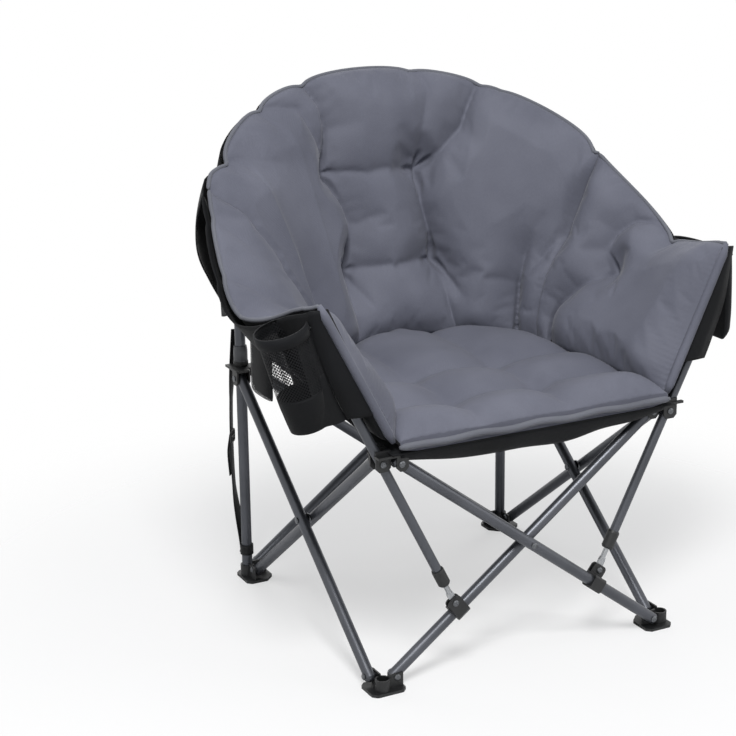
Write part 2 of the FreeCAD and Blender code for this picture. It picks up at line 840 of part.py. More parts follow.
def back_pad():
    # Fat panels between the sewn folds, level with the seams at the rim, the foot and both ends.
    end = size("back_end_angle")
    turns = [end * i / 12 for i in range(-12, 13)]
    reach = size("fold_reach")
    folds = [sewn([back_face(*place) for place in fold], hold, reach) for fold, hold in BACK_FOLDS]
    folds.append(sewn([back_face(turn, 1) for turn in turns], 1, size("rim_reach")))
    folds.append(sewn([back_face(turn, 0) for turn in turns], 1, size("base_reach")))
    folds += [sewn([back_face(turn, 0), back_face(turn, 1)], 1, size("rim_reach")) for turn in (-end, end)]
    depth = size("back_thickness")
    middle = (depth + size("rim_thickness")) / 2 + size("back_bow")
    sections = []
    for turn in turns:
        inner = [(share, size("back_swell") * puff(back_face(turn, share), folds)) for share in FACE_RISES]
        base, rim = back_place(turn)
        sections.append(padded_section(base, rim, depth, middle, size("rim_thickness"), inner))
    return soft(Part.makeLoft(sections, True, False), "back_pad")


def shell_section(base, out, points, thickness):
    # A thin wall through three places of its inner face, given as reach and height.
    def at(reach, z):
        return Vector(base.x, base.y, 0) + out * reach + Vector(0, 0, z)

    inner = [at(q, z) for q, z in points]
    outer = [at(q + thickness, z) for q, z in points]
    return Part.Wire([
        arc(inner[0], inner[1], inner[2]), line(inner[2], outer[2]),
        arc(outer[2], outer[1], outer[0]), line(outer[0], inner[0]),
    ])


def back_shell():
    # Black backing: leaves the rim, passes outside the uprights and hangs to above the hubs.
    end = size("back_end_angle")
    half = size("corner_half")
    sections = []
    at_upright = upright_angle()
    rest = end - at_upright
    angles = [at_upright * i / 3 for i in range(4)] + [at_upright + rest * i / 3 for i in range(1, 4)]
    for angle in mirrored(angles):
        base, rim = back_place(angle)
        out, lean = outward(base, rim)
        top = lean + size("rim_thickness + 3 * soft_gap")
        upright_reach = (Vector(math.copysign(half, angle), half, 0) - Vector(base.x, base.y, 0)).dot(out)
        hang = upright_reach + size("upright_radius + 2 * soft_gap")
        off = abs(abs(angle) - at_upright) / end
        if off > 0.001:
            swell = 0.5 * math.exp(-(off / 0.18) ** 2)
            hang = size("back_thickness") + lean * (0.6 + 0.12 * abs(angle) / end + swell)
        low, high = size("shell_low"), rim.z - size("shell_tuck")
        points = [(hang, low), (hang + size("shell_bow"), (low + high) / 2), (top, high)]
        sections.append(shell_section(base, out, points, size("shell_thickness")))
    return soft(Part.makeLoft(sections, True, False), "back_shell")


def arm_place(share):
    # From the end of the back, share 0, to the front edge, share 1, on the right-hand side.
    rear_base, rear_rim = back_place(size("back_end_angle") + 1)
    front = -size("corner_half + arm_front_reach")
    front_base = Vector(size("corner_half - arm_base_inset"), front, size("hub_pin_z + arm_base_rise"))
    post_reach = size("arm_corner_rise") * math.tan(math.radians(post_lean))
    front_rim = Vector(size("corner_half - arm_corner_inset") + post_reach, front,
                       size("hub_pin_z + arm_corner_rise"))
    base = rear_base + (front_base - rear_base) * share
    rim = rear_rim + (front_rim - rear_rim) * share
    wave = math.sin(math.pi * share)
    return base, rim + Vector(size("arm_bulge") * wave, 0, -size("arm_dip") * wave)


SHARES = [0, 0.25, 0.5, 0.75, 1]


def flip(shape, side):
    if side > 0:
        return shape
    return shape.mirror(Vector(0, 0, 0), Vector(1, 0, 0))


def arm_pad(label, side):
    sections = []
    for share in SHARES:
        base, rim = arm_place(share)
        crown = size("arm_end_crown") if share in (0, 1) else size("arm_crown")
        inner = [(rise, crown * math.sin(math.pi * rise)) for rise in (0.2, 0.5, 0.8)]
        sections.append(padded_section(base, rim, size("arm_base_depth"), size("arm_thickness"),
                                       size("rim_thickness"), inner))
    return soft(flip(Part.makeLoft(sections, True, False), side), label)


def arm_panel(label, side):
    # Black outer skin of the arm, swelling to a sleeve round the post at the front edge.
    sections = []
    for share in SHARES:
        base, rim = arm_place(share)
        out, lean = outward(base, rim)
        gap = size("soft_gap") * (1 + 2 * share ** 3)
        swell = share ** 6
        thick = size("shell_thickness") + size("sleeve_reach") * swell
        top_thick = size("shell_thickness") + size("sleeve_top_reach") * swell
        high = rim.z - size("rim_thickness") / 2
        lift = size("panel_lift") * share ** 3
        slope = (lean + size("rim_thickness - arm_base_depth")) / (high - base.z)
        low = (size("arm_base_depth") + lift * slope * 1.5, base.z + lift)
        middle = (lean / 2 + size("arm_thickness"), (base.z + high) / 2)
        pad_faces = [low, middle, (lean + size("rim_thickness"), high)]

        def at(reach, z):
            return Vector(base.x, base.y, 0) + out * reach + Vector(0, 0, z)

        inner = [at(q + gap, z) for q, z in pad_faces]
        outer = [at(q + gap + t, z) for (q, z), t in zip(pad_faces, (thick, thick, top_thick))]
        sections.append(Part.Wire([
            arc(inner[0], inner[1], inner[2]), line(inner[2], outer[2]),
            arc(outer[2], outer[1], outer[0]), line(outer[0], inner[0]),
        ]))
    shape = Part.makeLoft(sections, True, False)
    turn = lean_out(1)
    foot_end = Vector(size("corner_half"), -size("corner_half"), size("hub_pin_z"))
    sleeve = Part.makeCylinder(size("post_radius + soft_gap"), size("post_above + soft_gap"),
                               foot_end, turn.multVec(Vector(0, 0, 1)))
    shape = flip(shape.cut(sleeve), side)
    soft(shape, label)
    return shape


back_pad()
back_shell()
panels = {}
for side, name in ((-1, "left"), (1, "right")):
    arm_pad(name + "_arm_pad", side)
    panels[name] = arm_panel(name + "_arm_panel", side)


# Seat: a quilted pad on a black sling, with a valance under the front edge

def seat_half(y):
    # Half width of the seat at a depth: along the arms, then round inside the foot of the back.
    rear = arm_place(0)[0]
    margin = size("seat_margin")
    if y < rear.y:
        front = arm_place(1)[0]
        return rear.x + (front.x - rear.x) * (rear.y - y) / (rear.y - front.y) - margin
    depth = size("corner_half - base_rear_inset")
    return size("corner_half - base_side_inset") * math.sqrt(1 - (y / depth) ** 2) - margin


def seat_ends():
    return -size("corner_half + seat_front_reach"), size("corner_half - base_rear_inset - seat_rear_gap")


def seat_pad():
    # Nine quilted squares: two sewn lines each way, level with the seams all round.
    front, rear = seat_ends()
    low = size("hub_pin_z + plate_rise + plate_thickness + sling_thickness + 2 * soft_gap")
    edge = size("seat_edge")

    def spot(x, y):
        return Vector(x, y, low + edge)

    depths = [front + (rear - front) * i / 18 for i in range(19)]
    reach = size("seat_reach")
    folds = []
    for x in (-size("quilt_left"), size("quilt_right")):
        folds.append(sewn([spot(x, front), spot(x, rear)], 0.45, reach))
    for y in (-size("quilt_front"), -size("quilt_rear")):
        folds.append(sewn([spot(-seat_half(y), y), spot(seat_half(y), y)], 0.45, reach))
    for side in (-1, 1):
        folds.append(sewn([spot(side * seat_half(y), y) for y in depths], 1, reach))
    for y in (front, rear):
        folds.append(sewn([spot(-seat_half(y), y), spot(seat_half(y), y)], 1, reach))
    sections = []
    for y in depths:
        half = seat_half(y)
        foot_half = half - size("seat_tuck")
        brim_half = half - size("seat_tuck") * 0.7
        left_low, right_low = Vector(-foot_half, y, low), Vector(foot_half, y, low)
        left_high, right_high = spot(-brim_half, y), spot(brim_half, y)
        crest = [spot(brim_half * (1 - i / 8), y) for i in range(1, 16)]
        crest = [p + Vector(0, 0, size("seat_swell") * puff(p, folds)) for p in crest]
        sections.append(Part.Wire([
            line(left_low, right_low),
            arc(right_low, Vector(half, y, low + edge / 2), right_high),
            spline([right_high] + crest + [left_high]),
            arc(left_high, Vector(-half, y, low + edge / 2), left_low),
        ]))
    return soft(Part.makeLoft(sections, True, False), "seat_pad")


def seat_sling():
    front, rear = seat_ends()
    low = size("hub_pin_z + plate_rise + plate_thickness + soft_gap")
    steps = 12
    depths = [front + (rear - front) * i / steps for i in range(steps + 1)]
    right = [Vector(seat_half(y) - 2, y, low) for y in depths]
    left = [Vector(-p.x, p.y, low) for p in reversed(right)]
    rim = Part.Wire([spline(right), line(right[-1], left[0]), spline(left), line(left[-1], right[0])])
    return soft(Part.Face(rim).extrude(Vector(0, 0, size("sling_thickness"))), "seat_sling")


def seat_valance():
    top = size("hub_pin_z + plate_rise + plate_thickness + soft_gap / 2")
    half = size("corner_half - valance_inset")
    y = seat_ends()[0]
    low_end = top - size("valance_drop") + size("valance_rise")
    corners = [Vector(x, y, z) for x, z in ((-half, top), (half, top), (half, low_end), (-half, low_end))]
    face = Part.Face(Part.Wire([
        line(corners[0], corners[1]), line(corners[1], corners[2]),
        arc(corners[2], Vector(0, y, top - size("valance_drop")), corners[3]), line(corners[3], corners[0]),
    ]))
    return soft(face.extrude(Vector(0, size("sling_thickness"), 0)), "seat_valance")


seat_pad()
seat_sling()
seat_valance()


# Pockets on the arms

def seated(shape, place, panel, side):
    # Brings a piece in level from outside until it lies on the arm's skin, part of a soft gap away.
    gap = size("soft_gap") * 0.6
    reach = size("corner_half + rim_side_flare") * 1.5
    for step in range(40):
        shape.Placement = Placement(Vector(side * reach, 0, 0), Rotation()) * place
        free = shape.distToShape(panel)[0] - gap
        if free < 0.01:
            break
        reach -= free
    return shape


def cup_holder(panel):
    radius, wall, height = size("cup_radius"), size("cup_wall"), size("cup_height")
    shape = Part.makeCone(radius * 0.9, radius, height)
    shape = shape.cut(Part.makeCone(radius * 0.9 - wall, radius - wall, height, Vector(0, 0, wall)))
    tilt = Rotation(Vector(0, 1, 0), -size("cup_tilt"))
    start = Vector(0, -size("cup_y"), size("cup_rim_z")) - tilt.multVec(Vector(0, 0, height))
    return soft(seated(shape, Placement(start, tilt), panel, -1), "cup_holder")


def pocket_plan(name, inset):
    # Seen from above: flat on the arm's side, with the outer face bowed out.
    end = size(name + "_length / 2") - inset
    face = size(name + "_thickness") - inset
    corners = [Vector(inset, -end, 0), Vector(face, -end, 0), Vector(face, end, 0), Vector(inset, end, 0)]
    crest = Vector(face + size(name + "_bow"), 0, 0)
    return Part.Face(Part.Wire([
        line(corners[0], corners[1]), arc(corners[1], crest, corners[2]),
        line(corners[2], corners[3]), line(corners[3], corners[0]),
    ]))


def pouch(label, name, side, panel):
    # A pocket, open at the top, hung from its upper edge on the arm's outer face.
    wall, height = size("cup_wall"), size(name + "_height")
    drop = Vector(0, 0, -height)
    shape = pocket_plan(name, 0).extrude(drop)
    low_edges = [e for e in shape.Edges if abs(e.CenterOfMass.z + height) < 0.01]
    shape = shape.makeFillet(wall * 1.6, low_edges)
    hollow = pocket_plan(name, wall).extrude(drop)
    hollow.translate(Vector(0, 0, wall))
    place = Placement(Vector(0, -size(name + "_y"), size(name + "_top_z")), Rotation())
    return soft(seated(flip(shape.cut(hollow), side), place, panel, side), label)


cup_holder(panels["left"])
pouch("side_pocket", "pouch", 1, panels["right"])
pouch("mesh_pocket", "mesh", -1, panels["left"])


# Closure strap: webbing that hangs behind the rear-left upright, looped round it above the foot

def closure_strap():
    half = size("corner_half")
    width, thick = size("strap_width"), size("strap_thickness")
    top, low = size("strap_top_z"), size("strap_low_z")
    near = half + size("upright_radius + soft_gap * 1.1") + thick
    far = half + size("strap_stand_off")
    heights = [top, top - size("strap_top_run"), low + size("strap_low_run"), low, low - size("loop_height")]
    depths = [(near + far) / 2, far, far, near, near]
    x = -half - width / 2
    points = [Vector(x, y, z) for y, z in zip(depths, heights)]
    back = [Vector(p.x, p.y + thick, p.z) for p in points]
    face = Part.Face(Part.Wire([
        spline(points), line(points[-1], back[-1]), spline(list(reversed(back))), line(back[0], points[0]),
    ]))
    return soft(face.extrude(Vector(width, 0, 0)), "closure_strap")


def strap_loop():
    radius = size("upright_radius + soft_gap / 2")
    thick = size("strap_thickness")
    base = Vector(-size("corner_half"), size("corner_half"), size("strap_low_z") - size("loop_height"))
    ring = Part.makeCylinder(radius + thick, size("loop_height"), base)
    ring = ring.cut(Part.makeCylinder(radius, size("loop_height"), base))
    return soft(ring, "strap_loop")


closure_strap()
strap_loop()


# Every object has to have come out whole before anything is written

doc.recompute()
for part in doc.Objects:
    if "Invalid" in part.State or "Error" in part.State:
        raise RuntimeError("%s did not build: %s" % (part.Label, part.State))
for part in nodes:
    if part.Shape.isNull() or not part.Shape.isValid():
        raise RuntimeError("%s has no valid shape" % part.Label)
for part in nodes:
    part.Shape.exportStep("parts/%s.step" % part.Label)
print(len(nodes), "nodes")
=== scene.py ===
import math

import bmesh
import bpy
import numpy as np
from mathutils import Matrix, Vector, noise


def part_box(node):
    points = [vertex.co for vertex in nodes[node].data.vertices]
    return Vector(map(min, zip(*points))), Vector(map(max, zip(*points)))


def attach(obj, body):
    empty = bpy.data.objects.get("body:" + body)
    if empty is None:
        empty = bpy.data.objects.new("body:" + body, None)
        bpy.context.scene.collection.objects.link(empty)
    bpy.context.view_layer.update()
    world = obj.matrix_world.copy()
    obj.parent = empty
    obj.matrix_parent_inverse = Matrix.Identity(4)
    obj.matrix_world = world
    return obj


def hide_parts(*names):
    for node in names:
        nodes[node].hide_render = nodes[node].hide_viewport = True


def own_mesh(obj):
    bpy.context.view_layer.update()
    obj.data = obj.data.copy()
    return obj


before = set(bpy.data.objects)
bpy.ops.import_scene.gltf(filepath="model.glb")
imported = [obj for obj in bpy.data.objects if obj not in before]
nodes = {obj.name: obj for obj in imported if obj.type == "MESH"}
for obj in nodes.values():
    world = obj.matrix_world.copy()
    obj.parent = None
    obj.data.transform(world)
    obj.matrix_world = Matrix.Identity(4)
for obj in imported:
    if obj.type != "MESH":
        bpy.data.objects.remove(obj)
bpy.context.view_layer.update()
print("frame loaded:", len(nodes), "solids")
noise.seed_set(1)   # the same wrinkles in every run


# Small helpers

def hexToLinear(text):
    values = [int(text[i:i + 2], 16) / 255 for i in (1, 3, 5)]
    return [v / 12.92 if v <= 0.04045 else ((v + 0.055) / 1.055) ** 2.4 for v in values] + [1.0]


def addNode(tree, kind, settings=None, links=None):
    # settings: attributes, sockets, or the stops of a colour ramp; links: socket -> (node, output)
    n = tree.nodes.new(kind)
    for key, value in (settings or {}).items():
        if key == "stops":
            for stop, (place, colour) in zip(n.color_ramp.elements, value):
                stop.position = place
                stop.color = hexToLinear(colour)
        elif isinstance(key, str) and key not in n.inputs:
            setattr(n, key, value)
        else:
            n.inputs[key].default_value = value
    for key, (source, output) in (links or {}).items():
        tree.links.new(source.outputs[output], n.inputs[key])
    return n


def startMaterial(name):
    m = bpy.data.materials.new(name)
    m.use_nodes = True
    m.node_tree.nodes.clear()
    return m, m.node_tree


def finishMaterial(tree, shader):
    addNode(tree, "ShaderNodeOutputMaterial", links={"Surface": (shader, 0)})


def meshObject(name, verts, faces, material):
    mesh = bpy.data.meshes.new(name)
    mesh.from_pydata([tuple(v) for v in verts], [], faces)
    mesh.polygons.foreach_set("use_smooth", [True] * len(mesh.polygons))
    mesh.materials.append(material)
    o = bpy.data.objects.new(name, mesh)
    bpy.context.scene.collection.objects.link(o)
    return o


def gridFaces(rows, columns, loop=False):
    # rows of points with the same number of columns; loop joins the last column to the first
    faces = []
    for i in range(rows - 1):
        for j in range(columns if loop else columns - 1):
            k = (j + 1) % columns
            faces.append((i * columns + j, i * columns + k, (i + 1) * columns + k, (i + 1) * columns + j))
    return faces


def applyModifiers(o):
    bpy.context.view_layer.update()
    mesh = bpy.data.meshes.new_from_object(o.evaluated_get(bpy.context.evaluated_depsgraph_get()))
    o.modifiers.clear()
    o.data = mesh


def subdivide(o):
    m = o.modifiers.new("smooth", "SUBSURF")
    m.levels = 1
    applyModifiers(o)


def faceOut(o):
    bm = bmesh.new()
    bm.from_mesh(o.data)
    bmesh.ops.recalc_face_normals(bm, faces=bm.faces)
    bm.to_mesh(o.data)
    bm.free()


def thicken(o, thickness, offset):
    m = o.modifiers.new("thickness", "SOLIDIFY")
    m.thickness = thickness
    m.offset = offset
    applyModifiers(o)
    faceOut(o)


def bead(name, points, radius, material, closed=False, sides=10):
    # a round cord through the points, as a mesh tube with rounded ends
    pts = [Vector(p) for p in points]
    count = len(pts)
    verts = []
    for i, p in enumerate(pts):
        before = pts[(i - 1) % count] if closed or i else p
        after = pts[(i + 1) % count] if closed or i < count - 1 else p
        along = (after - before).normalized()
        across = along.cross(Vector((0, 0, 1)))
        if across.length < 0.05:
            across = along.cross(Vector((0, 1, 0)))
        across.normalize()
        rise = across.cross(along)
        r = radius * 0.55 if not closed and i in (0, count - 1) else radius
        for k in range(sides):
            a = 2 * math.pi * k / sides
            verts.append(p + (across * math.cos(a) + rise * math.sin(a)) * r)
    faces = gridFaces(count, sides, loop=True)
    last = (count - 1) * sides
    if closed:
        faces += [(last + k, last + (k + 1) % sides, (k + 1) % sides, k) for k in range(sides)]
    else:
        faces.append(tuple(reversed(range(sides))))
        faces.append(tuple(range(last, count * sides)))
    o = meshObject(name, verts, faces, material)
    faceOut(o)
    return o


def smoothLine(points, steps):
    # a soft curve through a few places
    pts = [Vector(p) for p in points]
    ends = [pts[0] * 2 - pts[1]] + pts + [pts[-1] * 2 - pts[-2]]
    out = []
    for i in range(len(pts) - 1):
        p0, p1, p2, p3 = ends[i:i + 4]
        for k in range(steps):
            t = k / steps
            bend = (2 * p0 - 5 * p1 + 4 * p2 - p3) * t * t + (3 * p1 - p0 - 3 * p2 + p3) * t ** 3
            out.append(0.5 * (2 * p1 + (p2 - p0) * t + bend))
    return out + [pts[-1]]


# Materials

def patternScale(mm):
    # the texture scale at which a pattern repeats about every so many millimetres
    return 1000 / mm


def waveScale(mm):
    # the same for a wave, which turns through 20 radians in a metre at scale 1
    return 2 * math.pi * patternScale(mm) / 20


def powderCoatedSteel():
    # baked powder coat on steel tube: dark grey with a fine orange peel and a soft satin highlight
    m, t = startMaterial("powderCoatedSteel")
    onObject = {"Vector": (addNode(t, "ShaderNodeTexCoord"), "Object")}
    peel = addNode(t, "ShaderNodeTexNoise", {"Scale": patternScale(1.4), "Detail": 2.0}, onObject)
    cloud = addNode(t, "ShaderNodeTexNoise", {"Scale": patternScale(90), "Detail": 3.0}, onObject)
    stops = [(0.3, "#4a4c51"), (0.7, "#585a60")]
    colour = addNode(t, "ShaderNodeValToRGB", {"stops": stops}, {"Fac": (cloud, "Fac")})
    rough = addNode(t, "ShaderNodeMapRange", {"To Min": 0.30, "To Max": 0.42}, {"Value": (cloud, "Fac")})
    bump = addNode(t, "ShaderNodeBump", {"Strength": 0.12, "Distance": 0.0002}, {"Height": (peel, "Fac")})
    shader = addNode(t, "ShaderNodeBsdfPrincipled", {"Metallic": 0.6}, {
        "Base Color": (colour, "Color"), "Roughness": (rough, "Result"), "Normal": (bump, "Normal")})
    finishMaterial(t, shader)
    return m


def zincPlatedSteel():
    # pressed rivet steel: bright zinc with a 2 mm spangle, dulled by handling
    m, t = startMaterial("zincPlatedSteel")
    onObject = {"Vector": (addNode(t, "ShaderNodeTexCoord"), "Object")}
    grain = addNode(t, "ShaderNodeTexNoise", {"Scale": patternScale(2), "Detail": 4.0}, onObject)
    stops = [(0.3, "#4d4f52"), (0.75, "#7b7d80")]
    colour = addNode(t, "ShaderNodeValToRGB", {"stops": stops}, {"Fac": (grain, "Fac")})
    rough = addNode(t, "ShaderNodeMapRange", {"To Min": 0.28, "To Max": 0.5}, {"Value": (grain, "Fac")})
    shader = addNode(t, "ShaderNodeBsdfPrincipled", {"Metallic": 1.0}, {
        "Base Color": (colour, "Color"), "Roughness": (rough, "Result")})
    finishMaterial(t, shader)
    return m


def drawnSteelRod():
    # bright drawn rod: faint upright scratches, 0.6 mm apart and 30 mm long, that stretch the highlight
    m, t = startMaterial("drawnSteelRod")
    onObject = {"Vector": (addNode(t, "ShaderNodeTexCoord"), "Object")}
    scale = (patternScale(0.6), patternScale(0.6), patternScale(30))
    stretch = addNode(t, "ShaderNodeMapping", {"Scale": scale}, onObject)
    scratch = addNode(t, "ShaderNodeTexNoise", {"Scale": 1.0, "Detail": 2.0}, {"Vector": (stretch, "Vector")})
    stops = [(0.3, "#8c8e91"), (0.7, "#b4b6b8")]
    colour = addNode(t, "ShaderNodeValToRGB", {"stops": stops}, {"Fac": (scratch, "Fac")})
    rough = addNode(t, "ShaderNodeMapRange", {"To Min": 0.16, "To Max": 0.32}, {"Value": (scratch, "Fac")})
    shader = addNode(t, "ShaderNodeBsdfPrincipled", {"Metallic": 1.0}, {
        "Base Color": (colour, "Color"), "Roughness": (rough, "Result")})
    finishMaterial(t, shader)
    return m


def mouldedNylon(name, dark, light):
    # injection-moulded nylon: spark-eroded mould grain of 0.9 mm, dull with paler rubbed high spots
    m, t = startMaterial(name)
    onObject = {"Vector": (addNode(t, "ShaderNodeTexCoord"), "Object")}
    grit = addNode(t, "ShaderNodeTexNoise", {"Scale": patternScale(0.9), "Detail": 3.0}, onObject)
    rub = addNode(t, "ShaderNodeTexNoise", {"Scale": patternScale(30), "Detail": 4.0}, onObject)
    colour = addNode(t, "ShaderNodeValToRGB", {"stops": [(0.35, dark), (0.8, light)]}, {"Fac": (rub, "Fac")})
    rough = addNode(t, "ShaderNodeMapRange", {"To Min": 0.42, "To Max": 0.62}, {"Value": (rub, "Fac")})
    bump = addNode(t, "ShaderNodeBump", {"Strength": 0.25, "Distance": 0.0002}, {"Height": (grit, "Fac")})
    shader = addNode(t, "ShaderNodeBsdfPrincipled", {"IOR": 1.53}, {
        "Base Color": (colour, "Color"), "Roughness": (rough, "Result"), "Normal": (bump, "Normal")})
    finishMaterial(t, shader)
    return m


def wovenPolyester(name, dark, light, thread, sheen, gloss, slack):
    # plain-weave polyester: crossing threads, heathered yarn and a soft sheen at grazing angles
    # thread is their spacing in mm, about three times as coarse as life so that the weave shows
    m, t = startMaterial(name)
    onObject = {"Vector": (addNode(t, "ShaderNodeTexCoord"), "Object")}
    wave = {"wave_type": "BANDS", "bands_direction": "DIAGONAL", "Distortion": 0.6}
    wave["Scale"] = waveScale(thread)
    warp = addNode(t, "ShaderNodeTexWave", wave, onObject)
    turn = addNode(t, "ShaderNodeMapping", {"Rotation": (0.0, 0.0, math.pi / 2)}, onObject)
    weft = addNode(t, "ShaderNodeTexWave", wave, {"Vector": (turn, "Vector")})
    weave = addNode(t, "ShaderNodeMath", {"operation": "MAXIMUM"}, {0: (warp, "Fac"), 1: (weft, "Fac")})
    yarn = {"Scale": patternScale(4), "Detail": 4.0, "Roughness": 0.65}
    heather = addNode(t, "ShaderNodeTexNoise", yarn, onObject)
    cloud = addNode(t, "ShaderNodeTexNoise", {"Scale": patternScale(120), "Detail": 2.0}, onObject)
    mixed = addNode(t, "ShaderNodeMath", {"operation": "MULTIPLY_ADD", 1: 0.35}, {
        0: (heather, "Fac"), 2: (cloud, "Fac")})
    stops = [(0.45, dark), (0.9, light)]
    colour = addNode(t, "ShaderNodeValToRGB", {"stops": stops}, {"Fac": (mixed, "Value")})
    folds = {"Scale": patternScale(35), "Detail": 3.0, "Distortion": 0.8}
    crease = addNode(t, "ShaderNodeTexNoise", folds, onObject)
    soft = addNode(t, "ShaderNodeBump", {"Strength": slack, "Distance": 0.004}, {"Height": (crease, "Fac")})
    bump = addNode(t, "ShaderNodeBump", {"Strength": 0.35, "Distance": thread / 4000}, {
        "Height": (weave, "Value"), "Normal": (soft, "Normal")})
    rough = addNode(t, "ShaderNodeMapRange", {"To Min": 0.66, "To Max": 0.82}, {"Value": (heather, "Fac")})
    shader = addNode(t, "ShaderNodeBsdfPrincipled", {
        "Sheen Weight": sheen, "Sheen Roughness": 0.45, "Specular IOR Level": gloss}, {
        "Base Color": (colour, "Color"), "Roughness": (rough, "Result"), "Normal": (bump, "Normal")})
    finishMaterial(t, shader)
    return m


def knittedNet(name, hole, opening):
    # warp-knitted polyester net: staggered round holes, so many mm apart, larger than life so that they show
    m, t = startMaterial(name)
    onNet = {"Vector": (addNode(t, "ShaderNodeUVMap", {"uv_map": "net"}), "UV")}
    turn = addNode(t, "ShaderNodeMapping", {"Rotation": (0.0, 0.0, math.pi / 4)}, onNet)
    grid = {"voronoi_dimensions": "2D", "Scale": patternScale(hole), "Randomness": 0.0}
    holes = addNode(t, "ShaderNodeTexVoronoi", grid, {"Vector": (turn, "Vector")})
    solid = addNode(t, "ShaderNodeMath", {"operation": "GREATER_THAN", 1: opening}, {0: (holes, "Distance")})
    fibre = addNode(t, "ShaderNodeTexNoise", {"Scale": patternScale(hole / 9), "Detail": 2.0}, onNet)
    stops = [(0.3, "#0c0d0f"), (0.8, "#1a1b1e")]
    colour = addNode(t, "ShaderNodeValToRGB", {"stops": stops}, {"Fac": (fibre, "Fac")})
    height = {"Height": (holes, "Distance")}
    bump = addNode(t, "ShaderNodeBump", {"Strength": 0.5, "Distance": 0.0006}, height)
    shader = addNode(t, "ShaderNodeBsdfPrincipled", {"Roughness": 0.6, "Specular IOR Level": 0.2}, {
        "Base Color": (colour, "Color"), "Alpha": (solid, "Value"), "Normal": (bump, "Normal")})
    finishMaterial(t, shader)
    return m


def polypropyleneWebbing():
    # flat woven strap: raised ribs of 1.8 mm across the width, with painted shade that darkens the grooves
    # between them
    m, t = startMaterial("polypropyleneWebbing")
    onObject = {"Vector": (addNode(t, "ShaderNodeTexCoord"), "Object")}
    wave = {"wave_type": "BANDS", "bands_direction": "Z", "Distortion": 0.4, "Scale": waveScale(1.8)}
    ribsAndGrooveShade = addNode(t, "ShaderNodeTexWave", wave, onObject)
    # painted shade: the colour follows the ribs and is darker in the grooves between them
    stops = [(0.2, "#0a0b0c"), (0.8, "#17181a")]
    colour = addNode(t, "ShaderNodeValToRGB", {"stops": stops}, {"Fac": (ribsAndGrooveShade, "Fac")})
    bump = addNode(t, "ShaderNodeBump", {"Strength": 0.5, "Distance": 0.0006}, {"Height": (ribsAndGrooveShade, "Fac")})
    shader = addNode(t, "ShaderNodeBsdfPrincipled", {"Roughness": 0.55, "Specular IOR Level": 0.25}, {
        "Base Color": (colour, "Color"), "Normal": (bump, "Normal")})
    finishMaterial(t, shader)
    return m


tubeCoat = powderCoatedSteel()
rivetSteel = zincPlatedSteel()
rodSteel = drawnSteelRod()
blackNylon = mouldedNylon("blackMouldedNylon", "#0c0d0e", "#161719")
greyNylon = mouldedNylon("greyMouldedNylon", "#5c5e62", "#6d6f73")
padCloth = wovenPolyester("greyWovenPolyester", "#5e606c", "#6c6e7a", 1.6, 0.12, 0.25, 0.05)
pipingCloth = wovenPolyester("greyPipingTape", "#5f6169", "#70727a", 1.2, 0.12, 0.25, 0.0)
blackCloth = wovenPolyester("blackOxfordPolyester", "#0a0b0d", "#131417", 1.4, 0.05, 0.16, 0.35)
bindingTape = wovenPolyester("blackBindingTape", "#0b0c0e", "#151619", 1.1, 0.05, 0.16, 0.0)
cupNet = knittedNet("openKnittedNet", 4.0, 0.40)
fineNet = knittedNet("fineKnittedNet", 2.4, 0.28)
webbing = polypropyleneWebbing()
print("materials made")


# Frame finishes

for name, node in nodes.items():
    finish = blackNylon
    if name.endswith(("_tube", "_upright", "_post")):
        finish = tubeCoat
    elif "rivet" in name:
        finish = rivetSteel
    elif name.endswith("_rod"):
        finish = rodSteel
    elif name.endswith("_slide_bush"):
        finish = greyNylon
    node.data.materials.clear()
    node.data.materials.append(finish)
print("frame finished")


# Cover layout: the real sizes of the cover, in metres, as the solids have them

cover = {
    "shiftY": -0.012, "half": 0.272,
    "baseSideInset": 0.037, "baseRearInset": 0.067, "baseZ": 0.436,
    "rimSideFlare": 0.116, "rimRearFlare": 0.032, "rimTop": 0.915, "rimDrop": 0.212,
    "rimThickness": 0.022, "backThickness": 0.046, "endAngle": 72.0,
    "armBaseZ": 0.430, "armFrontReach": 0.016, "armBaseInset": 0.018, "armCornerRise": 0.282,
    "armCornerInset": 0.0575, "armDip": 0.086, "armBulge": 0.036,
    "armBaseDepth": 0.022, "armThickness": 0.030, "postLean": 26.632, "hubZ": 0.394,
    "shellLow": 0.505, "shellBow": 0.012, "uprightRadius": 0.0095,
    "sleeveReach": 0.028, "sleeveTopReach": 0.004, "panelLift": 0.050,
}
upward = Vector((0, 0, 1))


def backSection(angle):
    # foot of the inner face and place of the rim, at a turn about the middle of the seat
    c = cover
    a = math.radians(angle)
    base = Vector(((c["half"] - c["baseSideInset"]) * math.sin(a),
                   (c["half"] - c["baseRearInset"]) * math.cos(a) + c["shiftY"], c["baseZ"]))
    rim = Vector(((c["half"] + c["rimSideFlare"]) * math.sin(a),
                  (c["half"] + c["rimRearFlare"]) * math.cos(a) + c["shiftY"],
                  c["rimTop"] - c["rimDrop"] * (1 - math.cos(a))))
    return base, rim


def armSection(share, slump=0.0, spread=0.0, corner=0.0):
    # from the end of the back, share 0, to the front edge, share 1, on the right-hand side
    c = cover
    rearBase, rearRim = backSection(c["endAngle"])
    front = -(c["half"] + c["armFrontReach"]) + c["shiftY"]
    reach = c["armCornerRise"] * math.tan(math.radians(c["postLean"]))
    frontBase = Vector((c["half"] - c["armBaseInset"], front, c["armBaseZ"]))
    frontRim = Vector((c["half"] - c["armCornerInset"] + reach, front, c["hubZ"] + c["armCornerRise"]))
    wave = math.sin(math.pi * share)
    base = rearBase.lerp(frontBase, share)
    sag = Vector(((c["armBulge"] + spread) * wave + corner * share ** 2, 0, -(c["armDip"] + slump) * wave))
    return base, rearRim.lerp(frontRim, share) + sag


def outward(base, rim):
    out = Vector((rim.x - base.x, rim.y - base.y, 0))
    return out.normalized(), out.length


